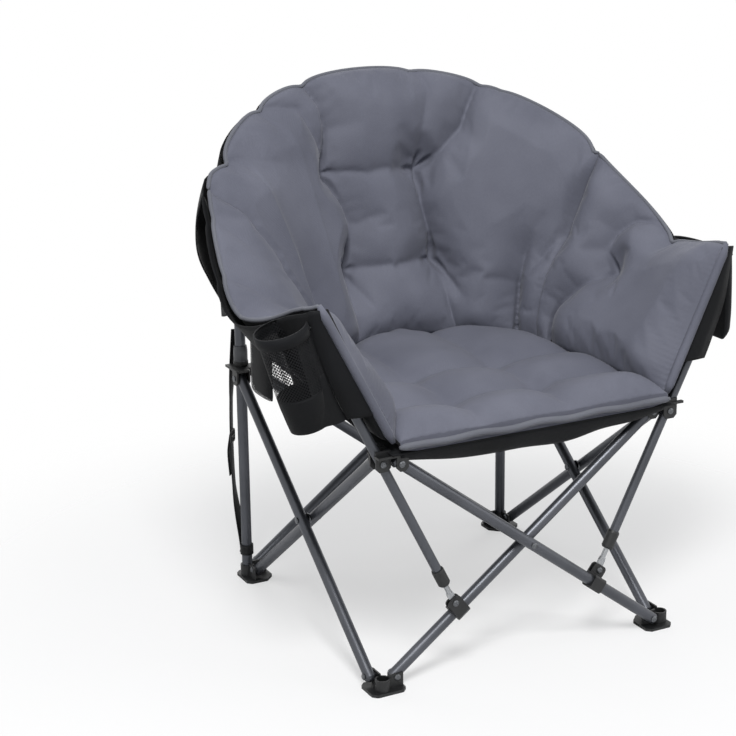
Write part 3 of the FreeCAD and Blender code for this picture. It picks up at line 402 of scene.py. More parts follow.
# Padded pieces: sewn cloth blown up between its creases, tufts and seams

def sewnLine(place, points, steps=30):
    # a stitched line through (along, up, hold) places, as dense points with the hold at each
    spots, holds = [], []
    for (u0, v0, h0), (u1, v1, h1) in zip(points, points[1:]):
        for k in range(steps + 1):
            t = k / steps
            spots.append(place(u0 + (u1 - u0) * t, v0 + (v1 - v0) * t))
            holds.append(h0 + (h1 - h0) * t)
    return np.array(spots), np.array(holds)


def nearestStitch(points, spots):
    # distance from each point to the nearest spot of a sewn line, and which spot that is
    batch = 4000   # so many points at a time, to spare memory
    gap, nearest = np.empty(len(points)), np.empty(len(points), dtype=int)
    for start in range(0, len(points), batch):
        part = slice(start, start + batch)
        gaps = np.linalg.norm(points[part, None, :] - spots[None, :, :], axis=2)
        nearest[part] = gaps.argmin(axis=1)
        gap[part] = gaps.min(axis=1)
    return gap, nearest


def puffLeft(points, lines):
    # share of the full puff at each point, 0 in a tight stitch, 1 far from every line; and the hold close by
    left = np.ones(len(points))
    tight = np.zeros(len(points))
    for (spots, holds), (reach, bend) in lines:
        gap, nearest = nearestStitch(points, spots)
        rise = np.sin(0.5 * math.pi * np.minimum(gap / reach, 1)) ** bend
        left *= 1 - holds[nearest] * (1 - rise)
        tight = np.maximum(tight, np.where(gap < cushion["stitch"], holds[nearest], 0))
    return left, tight


def padTube(name, loops, innerRows):
    # closed loops of points, one per station: inner face first, then the backing, which is black
    rows, columns = len(loops), len(loops[0])
    faces = gridFaces(rows, columns, loop=True)
    o = meshObject(name, [p for loop in loops for p in loop], faces, padCloth)
    o.data.materials.append(blackCloth)
    o.data.polygons.foreach_set("material_index", [int(f[0] % columns >= innerRows - 1) for f in faces])
    faceOut(o)
    return o


def tuckIn(o, lines):
    # the cloth drops into a narrow tuck along the firmly sewn creases, but not at the rim
    points = np.array([v.co for v in o.data.vertices])
    normals = np.array([v.normal for v in o.data.vertices])
    drop, clear = np.zeros(len(points)), np.ones(len(points))
    for (spots, holds), reach in lines:
        if reach == cushion["reach"]:
            gap, nearest = nearestStitch(points, spots)
            drop = np.maximum(drop, holds[nearest] ** 2 * np.exp(-(gap / cushion["tuckWidth"]) ** 2))
        elif reach == cushion["rimReach"]:
            gap = nearestStitch(points, spots)[0]
            clear *= np.minimum(1, gap / cushion["tuckClear"]) ** 2
    move = normals * (drop * clear * cushion["tuck"])[:, None]
    o.data.vertices.foreach_set("co", (points - move).ravel())
    o.data.update()


def closeEnds(o):
    # flat ends, so that two pads meet without a rounded groove
    bm = bmesh.new()
    bm.from_mesh(o.data)
    ends = bmesh.ops.holes_fill(bm, edges=[e for e in bm.edges if e.is_boundary], sides=0)["faces"]
    for f in bmesh.ops.triangulate(bm, faces=ends)["faces"]:
        f.smooth = False
    bmesh.ops.recalc_face_normals(bm, faces=bm.faces)
    bm.to_mesh(o.data)
    bm.free()


def blowUp(o, pins, spec):
    # pressure from inside, held by the sewn lines; the movement is capped so that the pad keeps its size
    rest = np.array([v.co for v in o.data.vertices])
    group = o.vertex_groups.new(name="sewn")
    group.add([int(i) for i in np.nonzero(pins)[0]], 1.0, "REPLACE")
    cloth = o.modifiers.new("filling", "CLOTH")
    s = cloth.settings
    s.quality = 6
    s.mass = 0.3
    s.tension_stiffness = 15
    s.compression_stiffness = 12
    s.shear_stiffness = 6
    s.bending_stiffness = spec["stiffness"]
    s.air_damping = 3
    s.use_pressure = True
    s.uniform_pressure_force = spec["pressure"]
    s.shrink_min = -spec["slack"]
    s.vertex_group_mass = "sewn"
    s.effector_weights.gravity = 0
    cloth.collision_settings.use_collision = False
    cloth.point_cache.frame_start = 1
    cloth.point_cache.frame_end = spec["frames"]
    scene = bpy.context.scene
    for f in range(1, spec["frames"] + 1):
        scene.frame_set(f)
    blown = bpy.data.meshes.new_from_object(o.evaluated_get(bpy.context.evaluated_depsgraph_get()))
    moved = np.array([v.co for v in blown.vertices]) - rest
    far = np.linalg.norm(moved, axis=1, keepdims=True)
    moved *= np.minimum(1, spec["cap"] / np.maximum(far, 1e-9))
    o.modifiers.clear()
    o.vertex_groups.clear()
    o.data.vertices.foreach_set("co", (rest + moved).ravel())
    o.data.update()
    bpy.data.meshes.remove(blown)
    scene.frame_set(1)
    print("blown up:", o.name, "%.1f mm at most, %.1f mm on average" % (far.max() * 1000, far.mean() * 1000))


def padSeam(section, spec, u):
    # foot of the pad's face, its top seam with the gathers, and the outward direction
    base, rim = section(u)
    out, lean = outward(base, rim)
    lift, pull = spec["edge"](u)
    top = base + out * (lean + cover["rimThickness"] / 2 - pull) + upward * (rim.z - base.z + lift)
    return base, top, out


def padLines(section, stations, spec):
    # the sewn lines of a pad: its creases, its rim and its foot, and the seams at its ends
    def place(u, v):
        base, top = padSeam(section, spec, u)[:2]
        return base.lerp(top, v)

    lines = [(sewnLine(place, line), cushion["reach"]) for line in spec["creases"]]
    lines.append((sewnLine(place, [(u, 1, 1) for u in stations[::2]], 2), cushion["rimReach"]))
    foot = [(u, 0, cushion["baseHold"]) for u in stations[::2]]
    lines.append((sewnLine(place, foot, 2), cushion["baseReach"]))
    for u, holds, reach in spec["ends"]:
        lines.append((sewnLine(place, [(u, v, hold) for v, hold in holds]), cushion[reach]))
    return lines


def mirrored(lines):
    return [((spots * (-1, 1, 1), holds), reach) for (spots, holds), reach in lines]


def makePad(name, section, stations, spec, lines, depth, middle, mirror=1):
    # the inner face is puffed between the sewn lines, the backing is plain
    rows, backRows = spec["rows"], spec["backRows"]
    half = cover["rimThickness"] / 2
    seams = [padSeam(section, spec, u) for u in stations]
    face = np.array([[base.lerp(top, v) for v in np.linspace(0, 1, rows)] for base, top, out in seams])
    left, tight = puffLeft(face.reshape(-1, 3), lines)
    left, tight = left.reshape(face.shape[:2]), tight.reshape(face.shape[:2])
    loops, pins = [], []
    for i, (base, top, out) in enumerate(seams):
        inward = (upward * (top - base).dot(out) - out * (top.z - base.z)).normalized()
        loop = [Vector(p) + inward * (cushion["puff"] * left[i, j]) for j, p in enumerate(face[i])]
        end = i in (0, len(stations) - 1)
        pins += [tight[i, j] > cushion["pinHold"] or j in (0, rows - 1) or end for j in range(rows)]
        low = base + out * depth
        full = spec["fullness"](stations[i])
        for j in range(1, backRows + 1):
            v = 1 - j / backRows
            swell = 4 * v * (1 - v) * (middle - depth / 2 - half)
            backing = low.lerp(top, v) + out * swell
            loop.append(base.lerp(top, v).lerp(backing, full))
            pins.append(True)
        loops.append([Vector((p.x * mirror, p.y, p.z)) for p in loop])
    o = padTube(name, loops, rows)
    blowUp(o, np.array(pins), cushion)
    subdivide(o)
    tuckIn(o, lines if mirror > 0 else mirrored(lines))
    closeEnds(o)
    columns = len(loops[0])
    edge = [o.data.vertices[i * columns + rows - 1].co.copy() for i in range(len(stations))]
    return o, edge


cushion = {
    # reach of the sewn lines, and the bend of the filling beside them: below 1 it is rounder
    "puff": 0.048, "reach": (0.070, 0.75), "endReach": (0.062, 0.65), "rimReach": (0.060, 0.6),
    "frontReach": (0.062, 0.7), "baseReach": (0.045, 0.7), "baseHold": 0.8,
    "tuck": 0.018, "tuckWidth": 0.006, "tuckClear": 0.04,
    # width of a stitch, the hold from which it pins the cloth, and what a gather does to the top seam
    "stitch": 0.006, "pinHold": 0.75, "gatherDrop": 0.7, "gatherPull": 0.8,
    "pressure": 4.0, "stiffness": 2.5, "frames": 20, "cap": 0.006, "slack": 0.012,
}
backCushion = {
    "stations": 169, "rows": 84, "backRows": 16, "middleShare": 0.8, "seamLift": 0.004,
    # sewn lines: degrees from the middle, share of the height, how hard the stitch holds
    "creases": [
        [(-20, 1, 1), (-17, 0.91, 0.9), (-16, 0.81, 0.95), (-19, 0.66, 1), (-16, 0.56, 0.95),
         (-14, 0.45, 0.9), (-18, 0.29, 1), (-22, 0.12, 0.6), (-23, 0, 0.5)],
        [(-18, 0.29, 1), (-16, 0.21, 0.6), (-13, 0.13, 0.1)],
        [(-37, 1, 1), (-26, 0.91, 0.6), (-24, 0.83, 0.5), (-20, 0.73, 0.5), (-19, 0.66, 1)],
        [(-19, 0.66, 0.9), (-6, 0.62, 0.35), (4, 0.62, 0.35), (14, 0.63, 0.95)],
        [(32, 1, 1), (30, 0.9, 0.9), (28, 0.8, 0.9), (22, 0.7, 0.75), (14, 0.63, 1)],
        [(14, 1, 0.8), (18, 0.92, 0.25), (16, 0.77, 0.3), (14, 0.63, 1)],
        [(14, 0.63, 1), (15, 0.5, 0.85), (18, 0.38, 0.9), (19, 0.29, 1)],
        [(19, 0.29, 1), (27, 0.21, 0.75), (36, 0.14, 0.1)],
        [(23, 0.22, 0.3), (28, 0.09, 0.6), (32, 0.0, 0.6)],
        [(-18, 0.29, 0.8), (0, 0.27, 0.25), (19, 0.29, 0.8)],
        [(71, 0.55, 0.4), (66, 0.39, 0.5), (62, 0.27, 0.05)],
        [(61, 0.49, 0.1), (57, 0.37, 0.75), (56, 0.24, 0.95), (60, 0, 1)],
        [(-61, 1, 1), (-54, 0.9, 0.45), (-44, 0.78, 0.05)],
        [(-58, 0.5, 0.05), (-55, 0.3, 0.4), (-58, 0, 0.6)],
    ],
    # hold of the seams to the arms, left and right: share of the height and hold
    "ends": [(-72, [(1, 0.8), (0.85, 0.4), (0.6, 0.1), (0, 0.1)], "endReach"),
             (72, [(1, 1), (0.75, 1), (0.55, 0.8), (0.42, 0.35), (0.2, 0.2), (0, 0.6)], "endReach")],
    # gathers in the rim: degrees from the middle and depth
    "gathers": [(-61, 0.015), (-37, 0.012), (-20, 0.011), (13, 0.007), (33, 0.009), (39, 0.004),
                (70.5, 0.018)],
    "gatherWidth": 2.6, "leftFlare": 0.014, "flareFrom": -61, "flareOver": 6, "fullness": lambda angle: 1.0,
}


def softStep(x):
    x = min(1, max(0, x))
    return x * x * (3 - 2 * x)


def backEdge(angle):
    # how far the gathers drop the top seam and pull it in; the left end flares out
    s = backCushion
    depth = sum(d * math.exp(-abs(angle - a) / s["gatherWidth"]) for a, d in s["gathers"])
    flare = s["leftFlare"] * softStep((s["flareFrom"] - angle) / s["flareOver"])
    return s["seamLift"] - cushion["gatherDrop"] * depth, cushion["gatherPull"] * depth - flare


armCushion = {
    "rows": 60, "backRows": 12, "roundEnd": 0.07, "thinnest": 0.3, "gatherWidth": 0.035,
    # rise of the rear half's edge, the share over which it leaves the back's edge, where the corner starts
    "rearSwell": 0.012, "rearMeet": 0.35, "cornerFrom": 0.86,
}
armSides = {
    "left": {
        "side": -1, "body": "front_left_post",
        "slump": 0.020, "spread": 0.024, "corner": 0.014, "level": 0.0, "cornerDrop": 0.012,
        # sewn lines: share of the way to the front edge, share of the height, how hard the stitch holds
        "creases": [
            [(0.10, 1, 0.8), (0.16, 0.86, 0.35), (0.22, 0.72, 0.05)],
            [(0.32, 1, 0.8), (0.36, 0.87, 0.3), (0.42, 0.74, 0.05)],
            [(0.52, 1, 1), (0.46, 0.92, 0.5), (0.38, 0.80, 0.1)],
            [(0.30, 0.50, 0.1), (0.20, 0.34, 0.3), (0.10, 0.14, 0.5), (0.11, 0, 0.8)],
        ],
        "gathers": [(0.10, 0.006), (0.32, 0.006), (0.52, 0.010)],
    },
    "right": {
        "side": 1, "body": "front_right_post",
        "slump": -0.004, "spread": 0.0, "corner": 0.006, "level": 0.010, "cornerDrop": 0.002,
        "creases": [
            [(0.50, 1, 1), (0.38, 0.97, 0.95), (0.30, 0.88, 0.9), (0.25, 0.74, 0.85), (0.235, 0.62, 0.75),
             (0.30, 0.56, 0.9)],
            [(0.30, 0.56, 0.9), (0.27, 0.46, 0.5), (0.17, 0.34, 0.85), (0.09, 0.22, 0.95), (0.08, 0.14, 1),
             (0.11, 0, 1)],
            [(0.30, 0.56, 0.8), (0.36, 0.52, 0.35), (0.42, 0.5, 0.05)],
        ],
        "gathers": [(0.50, 0.012)],
    },
}


def armEdge(arm, share):
    # lift and pull of the top seam, which starts level with the back's edge
    s = armCushion
    depth = sum(d * math.exp(-abs(share - a) / s["gatherWidth"]) for a, d in arm["gathers"])
    swell = s["rearSwell"] * math.sin(math.pi * share / 0.5) if share < 0.5 else 0
    level = arm["level"] * math.sin(math.pi * (share - 0.5) / 0.5) if share > 0.5 else 0
    lift, pull = backEdge(arm["side"] * cover["endAngle"])
    near = 1 - softStep(share / s["rearMeet"])
    level -= arm["cornerDrop"] * softStep((share - s["cornerFrom"]) / (1 - s["cornerFrom"]))
    rise = swell + level - cushion["gatherDrop"] * depth + lift * near
    return rise, cushion["gatherPull"] * depth + pull * near


def armFullness(share):
    # the padding thins to a rounded front edge
    near = min(1, (1 - share) / armCushion["roundEnd"])
    thinnest = armCushion["thinnest"]
    return thinnest + (1 - thinnest) * math.sqrt(1 - (1 - near) ** 2)


backCushion["edge"] = backEdge
backStations = np.linspace(-cover["endAngle"], cover["endAngle"], backCushion["stations"])
armStations = np.concatenate([np.linspace(0, 0.92, 76), np.linspace(0.93, 1, 10)])   # closer at the front
backLines = padLines(backSection, backStations, backCushion)
for arm in armSides.values():
    arm["section"] = lambda share, arm=arm: armSection(share, arm["slump"], arm["spread"], arm["corner"])
    arm["edge"] = lambda share, arm=arm: armEdge(arm, share)
    arm["ends"] = [(1, [(1, 1), (0, 1)], "frontReach")]
    arm["lines"] = padLines(arm["section"], armStations, arm)
backPad, backRim = makePad(
    "backCushion", backSection, backStations, backCushion,
    backLines + armSides["right"]["lines"] + mirrored(armSides["left"]["lines"]),
    cover["backThickness"], cover["backThickness"] * backCushion["middleShare"])
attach(backPad, "rear_left_leg")
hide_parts("back_pad")
print("back cushion made")
armRims = {}
for label, arm in armSides.items():
    spec = {**armCushion, "edge": arm["edge"], "fullness": armFullness}
    shared = backLines if arm["side"] > 0 else mirrored(backLines)
    arm["pad"], armRims[label] = makePad(
        label + "ArmCushion", arm["section"], armStations, spec, arm["lines"] + shared,
        cover["armBaseDepth"], cover["armThickness"], arm["side"])
    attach(arm["pad"], arm["body"])
    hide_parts(label + "_arm_pad")
print("arm cushions made")


# Seat: quilted pad on a black sling

seatCushion = {
    "margin": 0.001, "frontReach": 0.030, "rearGap": 0.002, "bottomZ": 0.4142, "edge": 0.019, "puff": 0.030,
    "rows": 84, "columns": 78, "underRows": 10, "reach": (0.070, 0.9), "sideReach": (0.055, 0.6),
    "acrossLines": (-0.207, -0.069), "alongLines": (-0.106, 0.058),
    "lineHold": 0.6, "tuftHold": 1.0, "tuftReach": (0.045, 0.9), "sideHold": 0.9,
    "lineHalf": 0.24, "frontHalf": 0.25, "underShare": 0.985, "rowCrowding": 1.1,
    "pressure": 3.0, "stiffness": 2.5, "frames": 18, "cap": 0.005, "slack": 0.010,
}


def seatHalf(y):
    # half of the seat's width at a depth
    c = cover
    rear, front = armSection(0)[0], armSection(1)[0]
    if y < rear.y:
        wide = rear.x + (front.x - rear.x) * (rear.y - y) / (rear.y - front.y)
    else:
        depth = c["half"] - c["baseRearInset"]
        wide = (c["half"] - c["baseSideInset"]) * math.sqrt(max(0.02, 1 - ((y - c["shiftY"]) / depth) ** 2))
    return wide - seatCushion["margin"]


def seatFront():
    return -(cover["half"] + seatCushion["frontReach"]) + cover["shiftY"]


def seatRear():
    return cover["half"] - cover["baseRearInset"] - seatCushion["rearGap"] + cover["shiftY"]


def makeSeat():
    s = seatCushion
    front, rear = seatFront(), seatRear()
    rows, columns = s["rows"], s["columns"]
    shares = [math.sin(0.5 * math.pi * i / (rows - 1)) ** s["rowCrowding"] for i in range(rows)]
    depths = [front + (rear - front) * share for share in shares]   # rows close up towards the round rear

    def place(x, y):
        return Vector((x, y, s["bottomZ"] + s["edge"]))

    flat = np.array([[place(seatHalf(y) * t, y) for t in np.linspace(-1, 1, columns)] for y in depths])
    hold = s["lineHold"]
    lines = []
    for y in s["acrossLines"]:
        across = [(-s["lineHalf"], y, hold), (s["lineHalf"], y, hold)]
        lines.append((sewnLine(place, across, 90), s["reach"]))
        for x in s["alongLines"]:
            tuft = [(x, y, s["tuftHold"]), (x, y + 0.001, s["tuftHold"])]
            lines.append((sewnLine(place, tuft, 2), s["tuftReach"]))
    for x in s["alongLines"]:
        lines.append((sewnLine(place, [(x, front, hold), (x, rear, hold)], 120), s["reach"]))
    for turn in (-1, 1):
        sides = [(turn * seatHalf(y), y, s["sideHold"]) for y in depths]
        lines.append((sewnLine(place, sides, 1), s["sideReach"]))
    frontSeam = [(-s["frontHalf"], front, 1), (s["frontHalf"], front, 1)]
    lines.append((sewnLine(place, frontSeam, 120), s["sideReach"]))
    left, tight = puffLeft(flat.reshape(-1, 3), lines)
    left, tight = left.reshape(rows, columns), tight.reshape(rows, columns)
    loops, pins = [], []
    for i in range(rows):
        loop = [Vector(flat[i, j]) + upward * (s["puff"] * left[i, j]) for j in range(columns)]
        end = i in (0, rows - 1)
        pins += [tight[i, j] > cushion["pinHold"] or j in (0, columns - 1) or end for j in range(columns)]
        half = seatHalf(depths[i]) * s["underShare"]
        for j in range(s["underRows"]):
            loop.append(Vector((half * (1 - 2 * j / (s["underRows"] - 1)), depths[i], s["bottomZ"])))
            pins.append(True)
        loops.append(loop)
    o = padTube("seatCushion", loops, columns)
    blowUp(o, np.array(pins), s)
    subdivide(o)
    closeEnds(o)
    return o


seatPad = makeSeat()
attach(seatPad, "seat")
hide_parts("seat_pad")
print("seat cushion made")


# Rim piping: a filled tape all round the top edge and down the front edges of the arms

piping = {
    "radius": 0.0035, "frontRadius": 0.0075, "rise": 0.0033,
    "frontSteps": 16, "footOut": 0.004, "frontOut": 0.002,
}


def makePiping():
    p = piping
    lift = upward * p["rise"]
    made = {"back": [bead("backPiping", [q + lift for q in backRim], p["radius"], pipingCloth)]}
    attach(made["back"][0], "rear_left_leg")
    for label, arm in armSides.items():
        base = arm["section"](1)[0]
        corner = armRims[label][-1]
        foot = Vector((arm["side"] * (base.x + p["footOut"]), base.y, base.z))
        forward = Vector((0, -p["frontOut"], 0))
        front = [corner.lerp(foot, k / p["frontSteps"]) + forward for k in range(1, p["frontSteps"] + 1)]
        edge = [q + lift for q in armRims[label]]
        made[label] = [bead(label + "ArmPiping", edge, p["radius"], pipingCloth),
                       bead(label + "FrontRoll", [corner + lift] + front, p["frontRadius"], padCloth)]
        for o in made[label]:
            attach(o, arm["body"])
    return made


pipingPieces = makePiping()
print("piping made")


# Black skins: the backing of the back and of the arms

skins = {
    "thickness": 0.0022, "wrinkle": 0.006, "wrinkleSize": 0.085, "tuck": 0.008, "hemRise": 0.075,
    "belly": 0.014, "rows": 26, "stations": 121, "overlap": 0.5, "rimShare": 0.8,
    # how far the shell hangs out: share of the lean, more at the sides and most at the uprights
    "hang": 0.6, "hangSide": 0.12, "hangPost": 0.5, "hangWidth": 0.18,
    # the ridge that an upright pushes out, up to a share of the height
    "postRoom": 0.005, "postTop": 0.57, "postFade": 0.3, "postDrop": 0.12,
    "ridgeHalf": 0.008, "ridgeSlope": 0.8, "ridgeWidth": 0.08, "ridgeTaut": 0.8,
}
armSkin = {
    "thickness": 0.0018, "rows": 24, "stations": 61, "padGap": 0.003, "liftLean": 0.55,
    "rimDrop": 0.3, "rimReach": 0.9, "turnIn": (0.35, 0.7, 1.0), "edgeOut": 0.004, "edgeForward": 0.001,
    "turnBulge": 0.003,
}


def wrinkled(p, size, amount):
    return Vector(p) + noise.noise_vector(Vector(p) / size) * amount


def uprightAngle():
    # the section of the back that points straight at an upright
    c = cover
    low, high = 0.0, 90.0
    while high - low > 1e-10:
        middle = (low + high) / 2
        base, rim = backSection(middle)
        out = outward(base, rim)[0]
        away = Vector((c["half"] - base.x, c["half"] + c["shiftY"] - base.y, 0))
        if out.x * away.y - out.y * away.x > 0:
            high = middle
        else:
            low = middle
    return low


def makeShell():
    # black backing: leaves the rim, passes over the uprights and hangs to above the hubs
    c, s = cover, skins
    at = uprightAngle()
    rows = s["rows"]
    end = c["endAngle"] + s["overlap"]
    verts = []
    for angle in np.linspace(-end, end, s["stations"]):
        base, rim = backSection(angle)
        out, lean = outward(base, rim)
        foot = Vector((base.x, base.y, 0))
        away = Vector((math.copysign(c["half"], angle), c["half"] + c["shiftY"], 0)) - foot
        atPost = away.dot(out) + c["uprightRadius"] + s["postRoom"]
        off = abs(abs(angle) - at) / c["endAngle"]
        ease = s["hang"] + s["hangSide"] * abs(angle) / c["endAngle"]
        ease += s["hangPost"] * math.exp(-(off / s["hangWidth"]) ** 2)
        plain = c["backThickness"] + lean * ease
        aside = abs(away.x * out.y - away.y * out.x)
        ridge = atPost - s["ridgeSlope"] * max(0, aside - s["ridgeHalf"])
        beside = math.exp(-(off / s["ridgeWidth"]) ** 2)
        hang = plain * (1 - beside) + max(plain, atPost) * beside
        lift, pull = backEdge(angle)
        near = max(0, abs(angle) - at) / (c["endAngle"] - at)
        low, high = c["shellLow"] + s["hemRise"] * near ** 1.5, rim.z + lift - s["tuck"]
        top = lean + c["rimThickness"] * s["rimShare"] - pull
        for k in range(rows):
            v = k / (rows - 1)
            reach = hang * (1 - v) + top * v + (c["shellBow"] + s["belly"] * near) * 4 * v * (1 - v)
            reach = max(reach, ridge - s["postDrop"] * softStep((v - s["postTop"]) / s["postFade"]))
            p = foot + out * reach + upward * (low + (high - low) * v)
            amount = s["wrinkle"] * 4 * v * (1 - v) * (1 - s["ridgeTaut"] * beside)
            verts.append(wrinkled(p, s["wrinkleSize"], amount))
    o = meshObject("backShell", verts, gridFaces(s["stations"], rows), blackCloth)
    thicken(o, s["thickness"], 0.0)
    return o


backShell = makeShell()
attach(backShell, "rear_left_leg")
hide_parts("back_shell")


def skinPlace(arm, share, v, extra=0.0):
    # outer skin of an arm: on the pad's backing, swelling to a sleeve round the post at the front edge
    c, s = cover, armSkin
    base, rim = arm["section"](share)
    out, lean = outward(base, rim)
    lift, pull = arm["edge"](share)
    swell = share ** 6
    rise = c["panelLift"] * share ** 3
    low, high = base.z + rise, rim.z - c["rimThickness"] * s["rimDrop"] + lift
    reachLow = c["armBaseDepth"] + s["padGap"] + c["sleeveReach"] * swell + rise * s["liftLean"]
    reachTop = lean + c["rimThickness"] * s["rimReach"] - pull + c["sleeveTopReach"] * swell
    reachMid = lean / 2 + c["armThickness"] + s["padGap"] + c["sleeveReach"] * swell
    bow = reachMid - (reachLow + reachTop) / 2
    reach = reachLow * (1 - v) + reachTop * v + bow * 4 * v * (1 - v) + extra
    p = Vector((base.x, base.y, 0)) + out * reach + upward * (low + (high - low) * v)
    return Vector((p.x * arm["side"], p.y, p.z))


def makeSkin(label, arm):
    s = armSkin
    rises = np.linspace(0, 1, s["rows"])
    verts = []
    for share in np.linspace(0, 1, s["stations"]):
        for v in rises:
            p = skinPlace(arm, share, v)
            verts.append(wrinkled(p, skins["wrinkleSize"], skins["wrinkle"] * 4 * v * (1 - v)))
    base, rim = arm["section"](1)
    for inset in s["turnIn"]:   # the skin turns in round the front edge to meet the piping
        bulge = Vector((0, -s["turnBulge"] * math.sin(math.pi * inset), 0))
        for v in rises:
            outer = skinPlace(arm, 1, v)
            edge = base.lerp(rim, (outer.z - base.z) / (rim.z - base.z))
            inner = Vector((arm["side"] * (edge.x + s["edgeOut"]), edge.y - s["edgeForward"], edge.z))
            verts.append(outer.lerp(inner, inset) + bulge)
    faces = gridFaces(s["stations"] + len(s["turnIn"]), s["rows"])
    o = meshObject(label + "ArmSkin", verts, faces, blackCloth)
    thicken(o, s["thickness"], 0.0)
    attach(o, arm["body"])
    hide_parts(label + "_arm_panel")
    return o


for label, arm in armSides.items():
    arm["skin"] = makeSkin(label, arm)
print("black skins made")


# Sling and valance under the seat

sling = {
    "thickness": 0.0024, "topZ": 0.4138, "lap": 0.012, "rows": 40, "columns": 41,
    "valanceTop": 0.4125, "valanceDrop": 0.036, "valanceRise": 0.020, "valanceThickness": 0.002,
    "valanceRows": 9, "valanceColumns": 81, "valanceInset": 0.024, "valanceBack": 0.002,
    "hemWave": 0.003, "hemTurns": 9, "sway": 0.004, "swayTurns": 11, "swayStart": 0.8,
    "tuckUnder": 0.020,
    "edgeZ": 0.4245, "edgeRadius": 0.0055, "edgeWave": 0.002, "edgeTurns": 14, "edgeOut": 0.002,
    "edgePoints": 61,
}


def makeSling():
    s = sling
    front, rear = seatFront(), seatRear() + s["lap"]
    rows, columns = s["rows"], s["columns"]
    verts = []
    for y in np.linspace(front, rear, rows):
        half = seatHalf(min(y, seatRear())) + s["lap"]
        verts += [Vector((x, y, s["topZ"])) for x in np.linspace(-half, half, columns)]
    o = meshObject("seatSling", verts, gridFaces(rows, columns), blackCloth)
    thicken(o, s["thickness"], -1.0)
    return o


def makeValance():
    # a loose strip that waves a little and hangs back under the seat's front edge
    s = sling
    rows, columns = s["valanceRows"], s["valanceColumns"]
    half = cover["half"] - s["valanceInset"]
    verts = []
    for v in np.linspace(0, 1, rows):
        for t in np.linspace(-1, 1, columns):
            middle = 1 - t * t
            wave = s["hemWave"] * math.sin(t * s["hemTurns"]) * middle
            drop = s["valanceDrop"] - s["valanceRise"] * t * t + wave
            sway = s["sway"] * math.sin(t * s["swayTurns"] + s["swayStart"]) * v * middle
            y = seatFront() + s["valanceBack"] + sway + s["tuckUnder"] * v * v
            verts.append(Vector((t * half, y, s["valanceTop"] - drop * v)))
    o = meshObject("seatValance", verts, gridFaces(rows, columns), blackCloth)
    thicken(o, s["valanceThickness"], 0.0)
    return o


def makeSeatEdge():
    # grey piping along the front edge, a little scalloped where the filling pulls
    s = sling
    half = seatHalf(seatFront())
    points = []
    for t in np.linspace(-1, 1, s["edgePoints"]):
        z = s["edgeZ"] + s["edgeWave"] * math.cos(t * s["edgeTurns"]) * (1 - t * t)
        points.append(Vector((t * half, seatFront() - s["edgeOut"], z)))
    return bead("seatFrontPiping", points, s["edgeRadius"], pipingCloth)


seatSling = makeSling()
seatValance = makeValance()
seatEdge = makeSeatEdge()
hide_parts("seat_sling")
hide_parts("seat_valance")
for piece, slotName in ((seatSling, "black_fabric"), (seatValance, "black_fabric"), (seatEdge, "pad_fabric")):
    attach(piece, "seat")
print("sling, valance and seat edge made")


# Pockets on the arms

def netCoordinates(o, place):
    # flat coordinates in metres for the net's holes
    layer = o.data.uv_layers.new(name="net")
    for loop in o.data.loops:
        layer.data[loop.index].uv = place(o.data.vertices[loop.vertex_index].co)


cupHolder = {
    "radius": 0.039, "taper": 0.9, "height": 0.160, "tilt": 16.0, "rimZ": 0.625, "sides": 48,
    "pinch": 0.10, "pinchFrom": 0.75, "solidShare": 0.36, "netRows": 22,
    # black foot: rings of points, then the rounded bottom, as shares of the radius
    "footRings": 16, "bottom": (0.92, 0.7, 0.4, 0.1), "bottomDrop": 0.004, "footThickness": 0.0015,
    "wrinkle": 0.0016, "wrinkleSize": 0.03,
    # binding tape round the mouth: height above the mouth and distance from the net
    "tape": ((0.004, 0.0005), (0.004, 0.0022), (-0.004, 0.0026), (-0.013, 0.0022), (-0.013, 0.0005)),
    "tapeThickness": 0.001,
}


def cupAxis():
    # mouth centre, direction of the cup, and the two directions across it
    s = cupHolder
    low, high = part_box("cup_holder")
    tilt = math.radians(s["tilt"])
    mouth = Vector((low[0] + s["radius"] * math.cos(tilt), (low[1] + high[1]) / 2, s["rimZ"]))
    axis = Vector((-math.sin(tilt), 0, math.cos(tilt)))
    return mouth, axis, Vector((math.cos(tilt), 0, math.sin(tilt))), Vector((0, 1, 0))


def cupPoint(turn, down):
    # turn in degrees from the arm's side, down the cup from its mouth; the foot is pinched
    s = cupHolder
    mouth, axis, across, along = cupAxis()
    share = down / s["height"]
    r = s["radius"] * (1 - (1 - s["taper"]) * share)
    r *= 1 - s["pinch"] * max(0, share - s["pinchFrom"]) / (1 - s["pinchFrom"])
    a = math.radians(turn)
    return mouth - axis * down + across * (math.cos(a) * r) + along * (math.sin(a) * r)


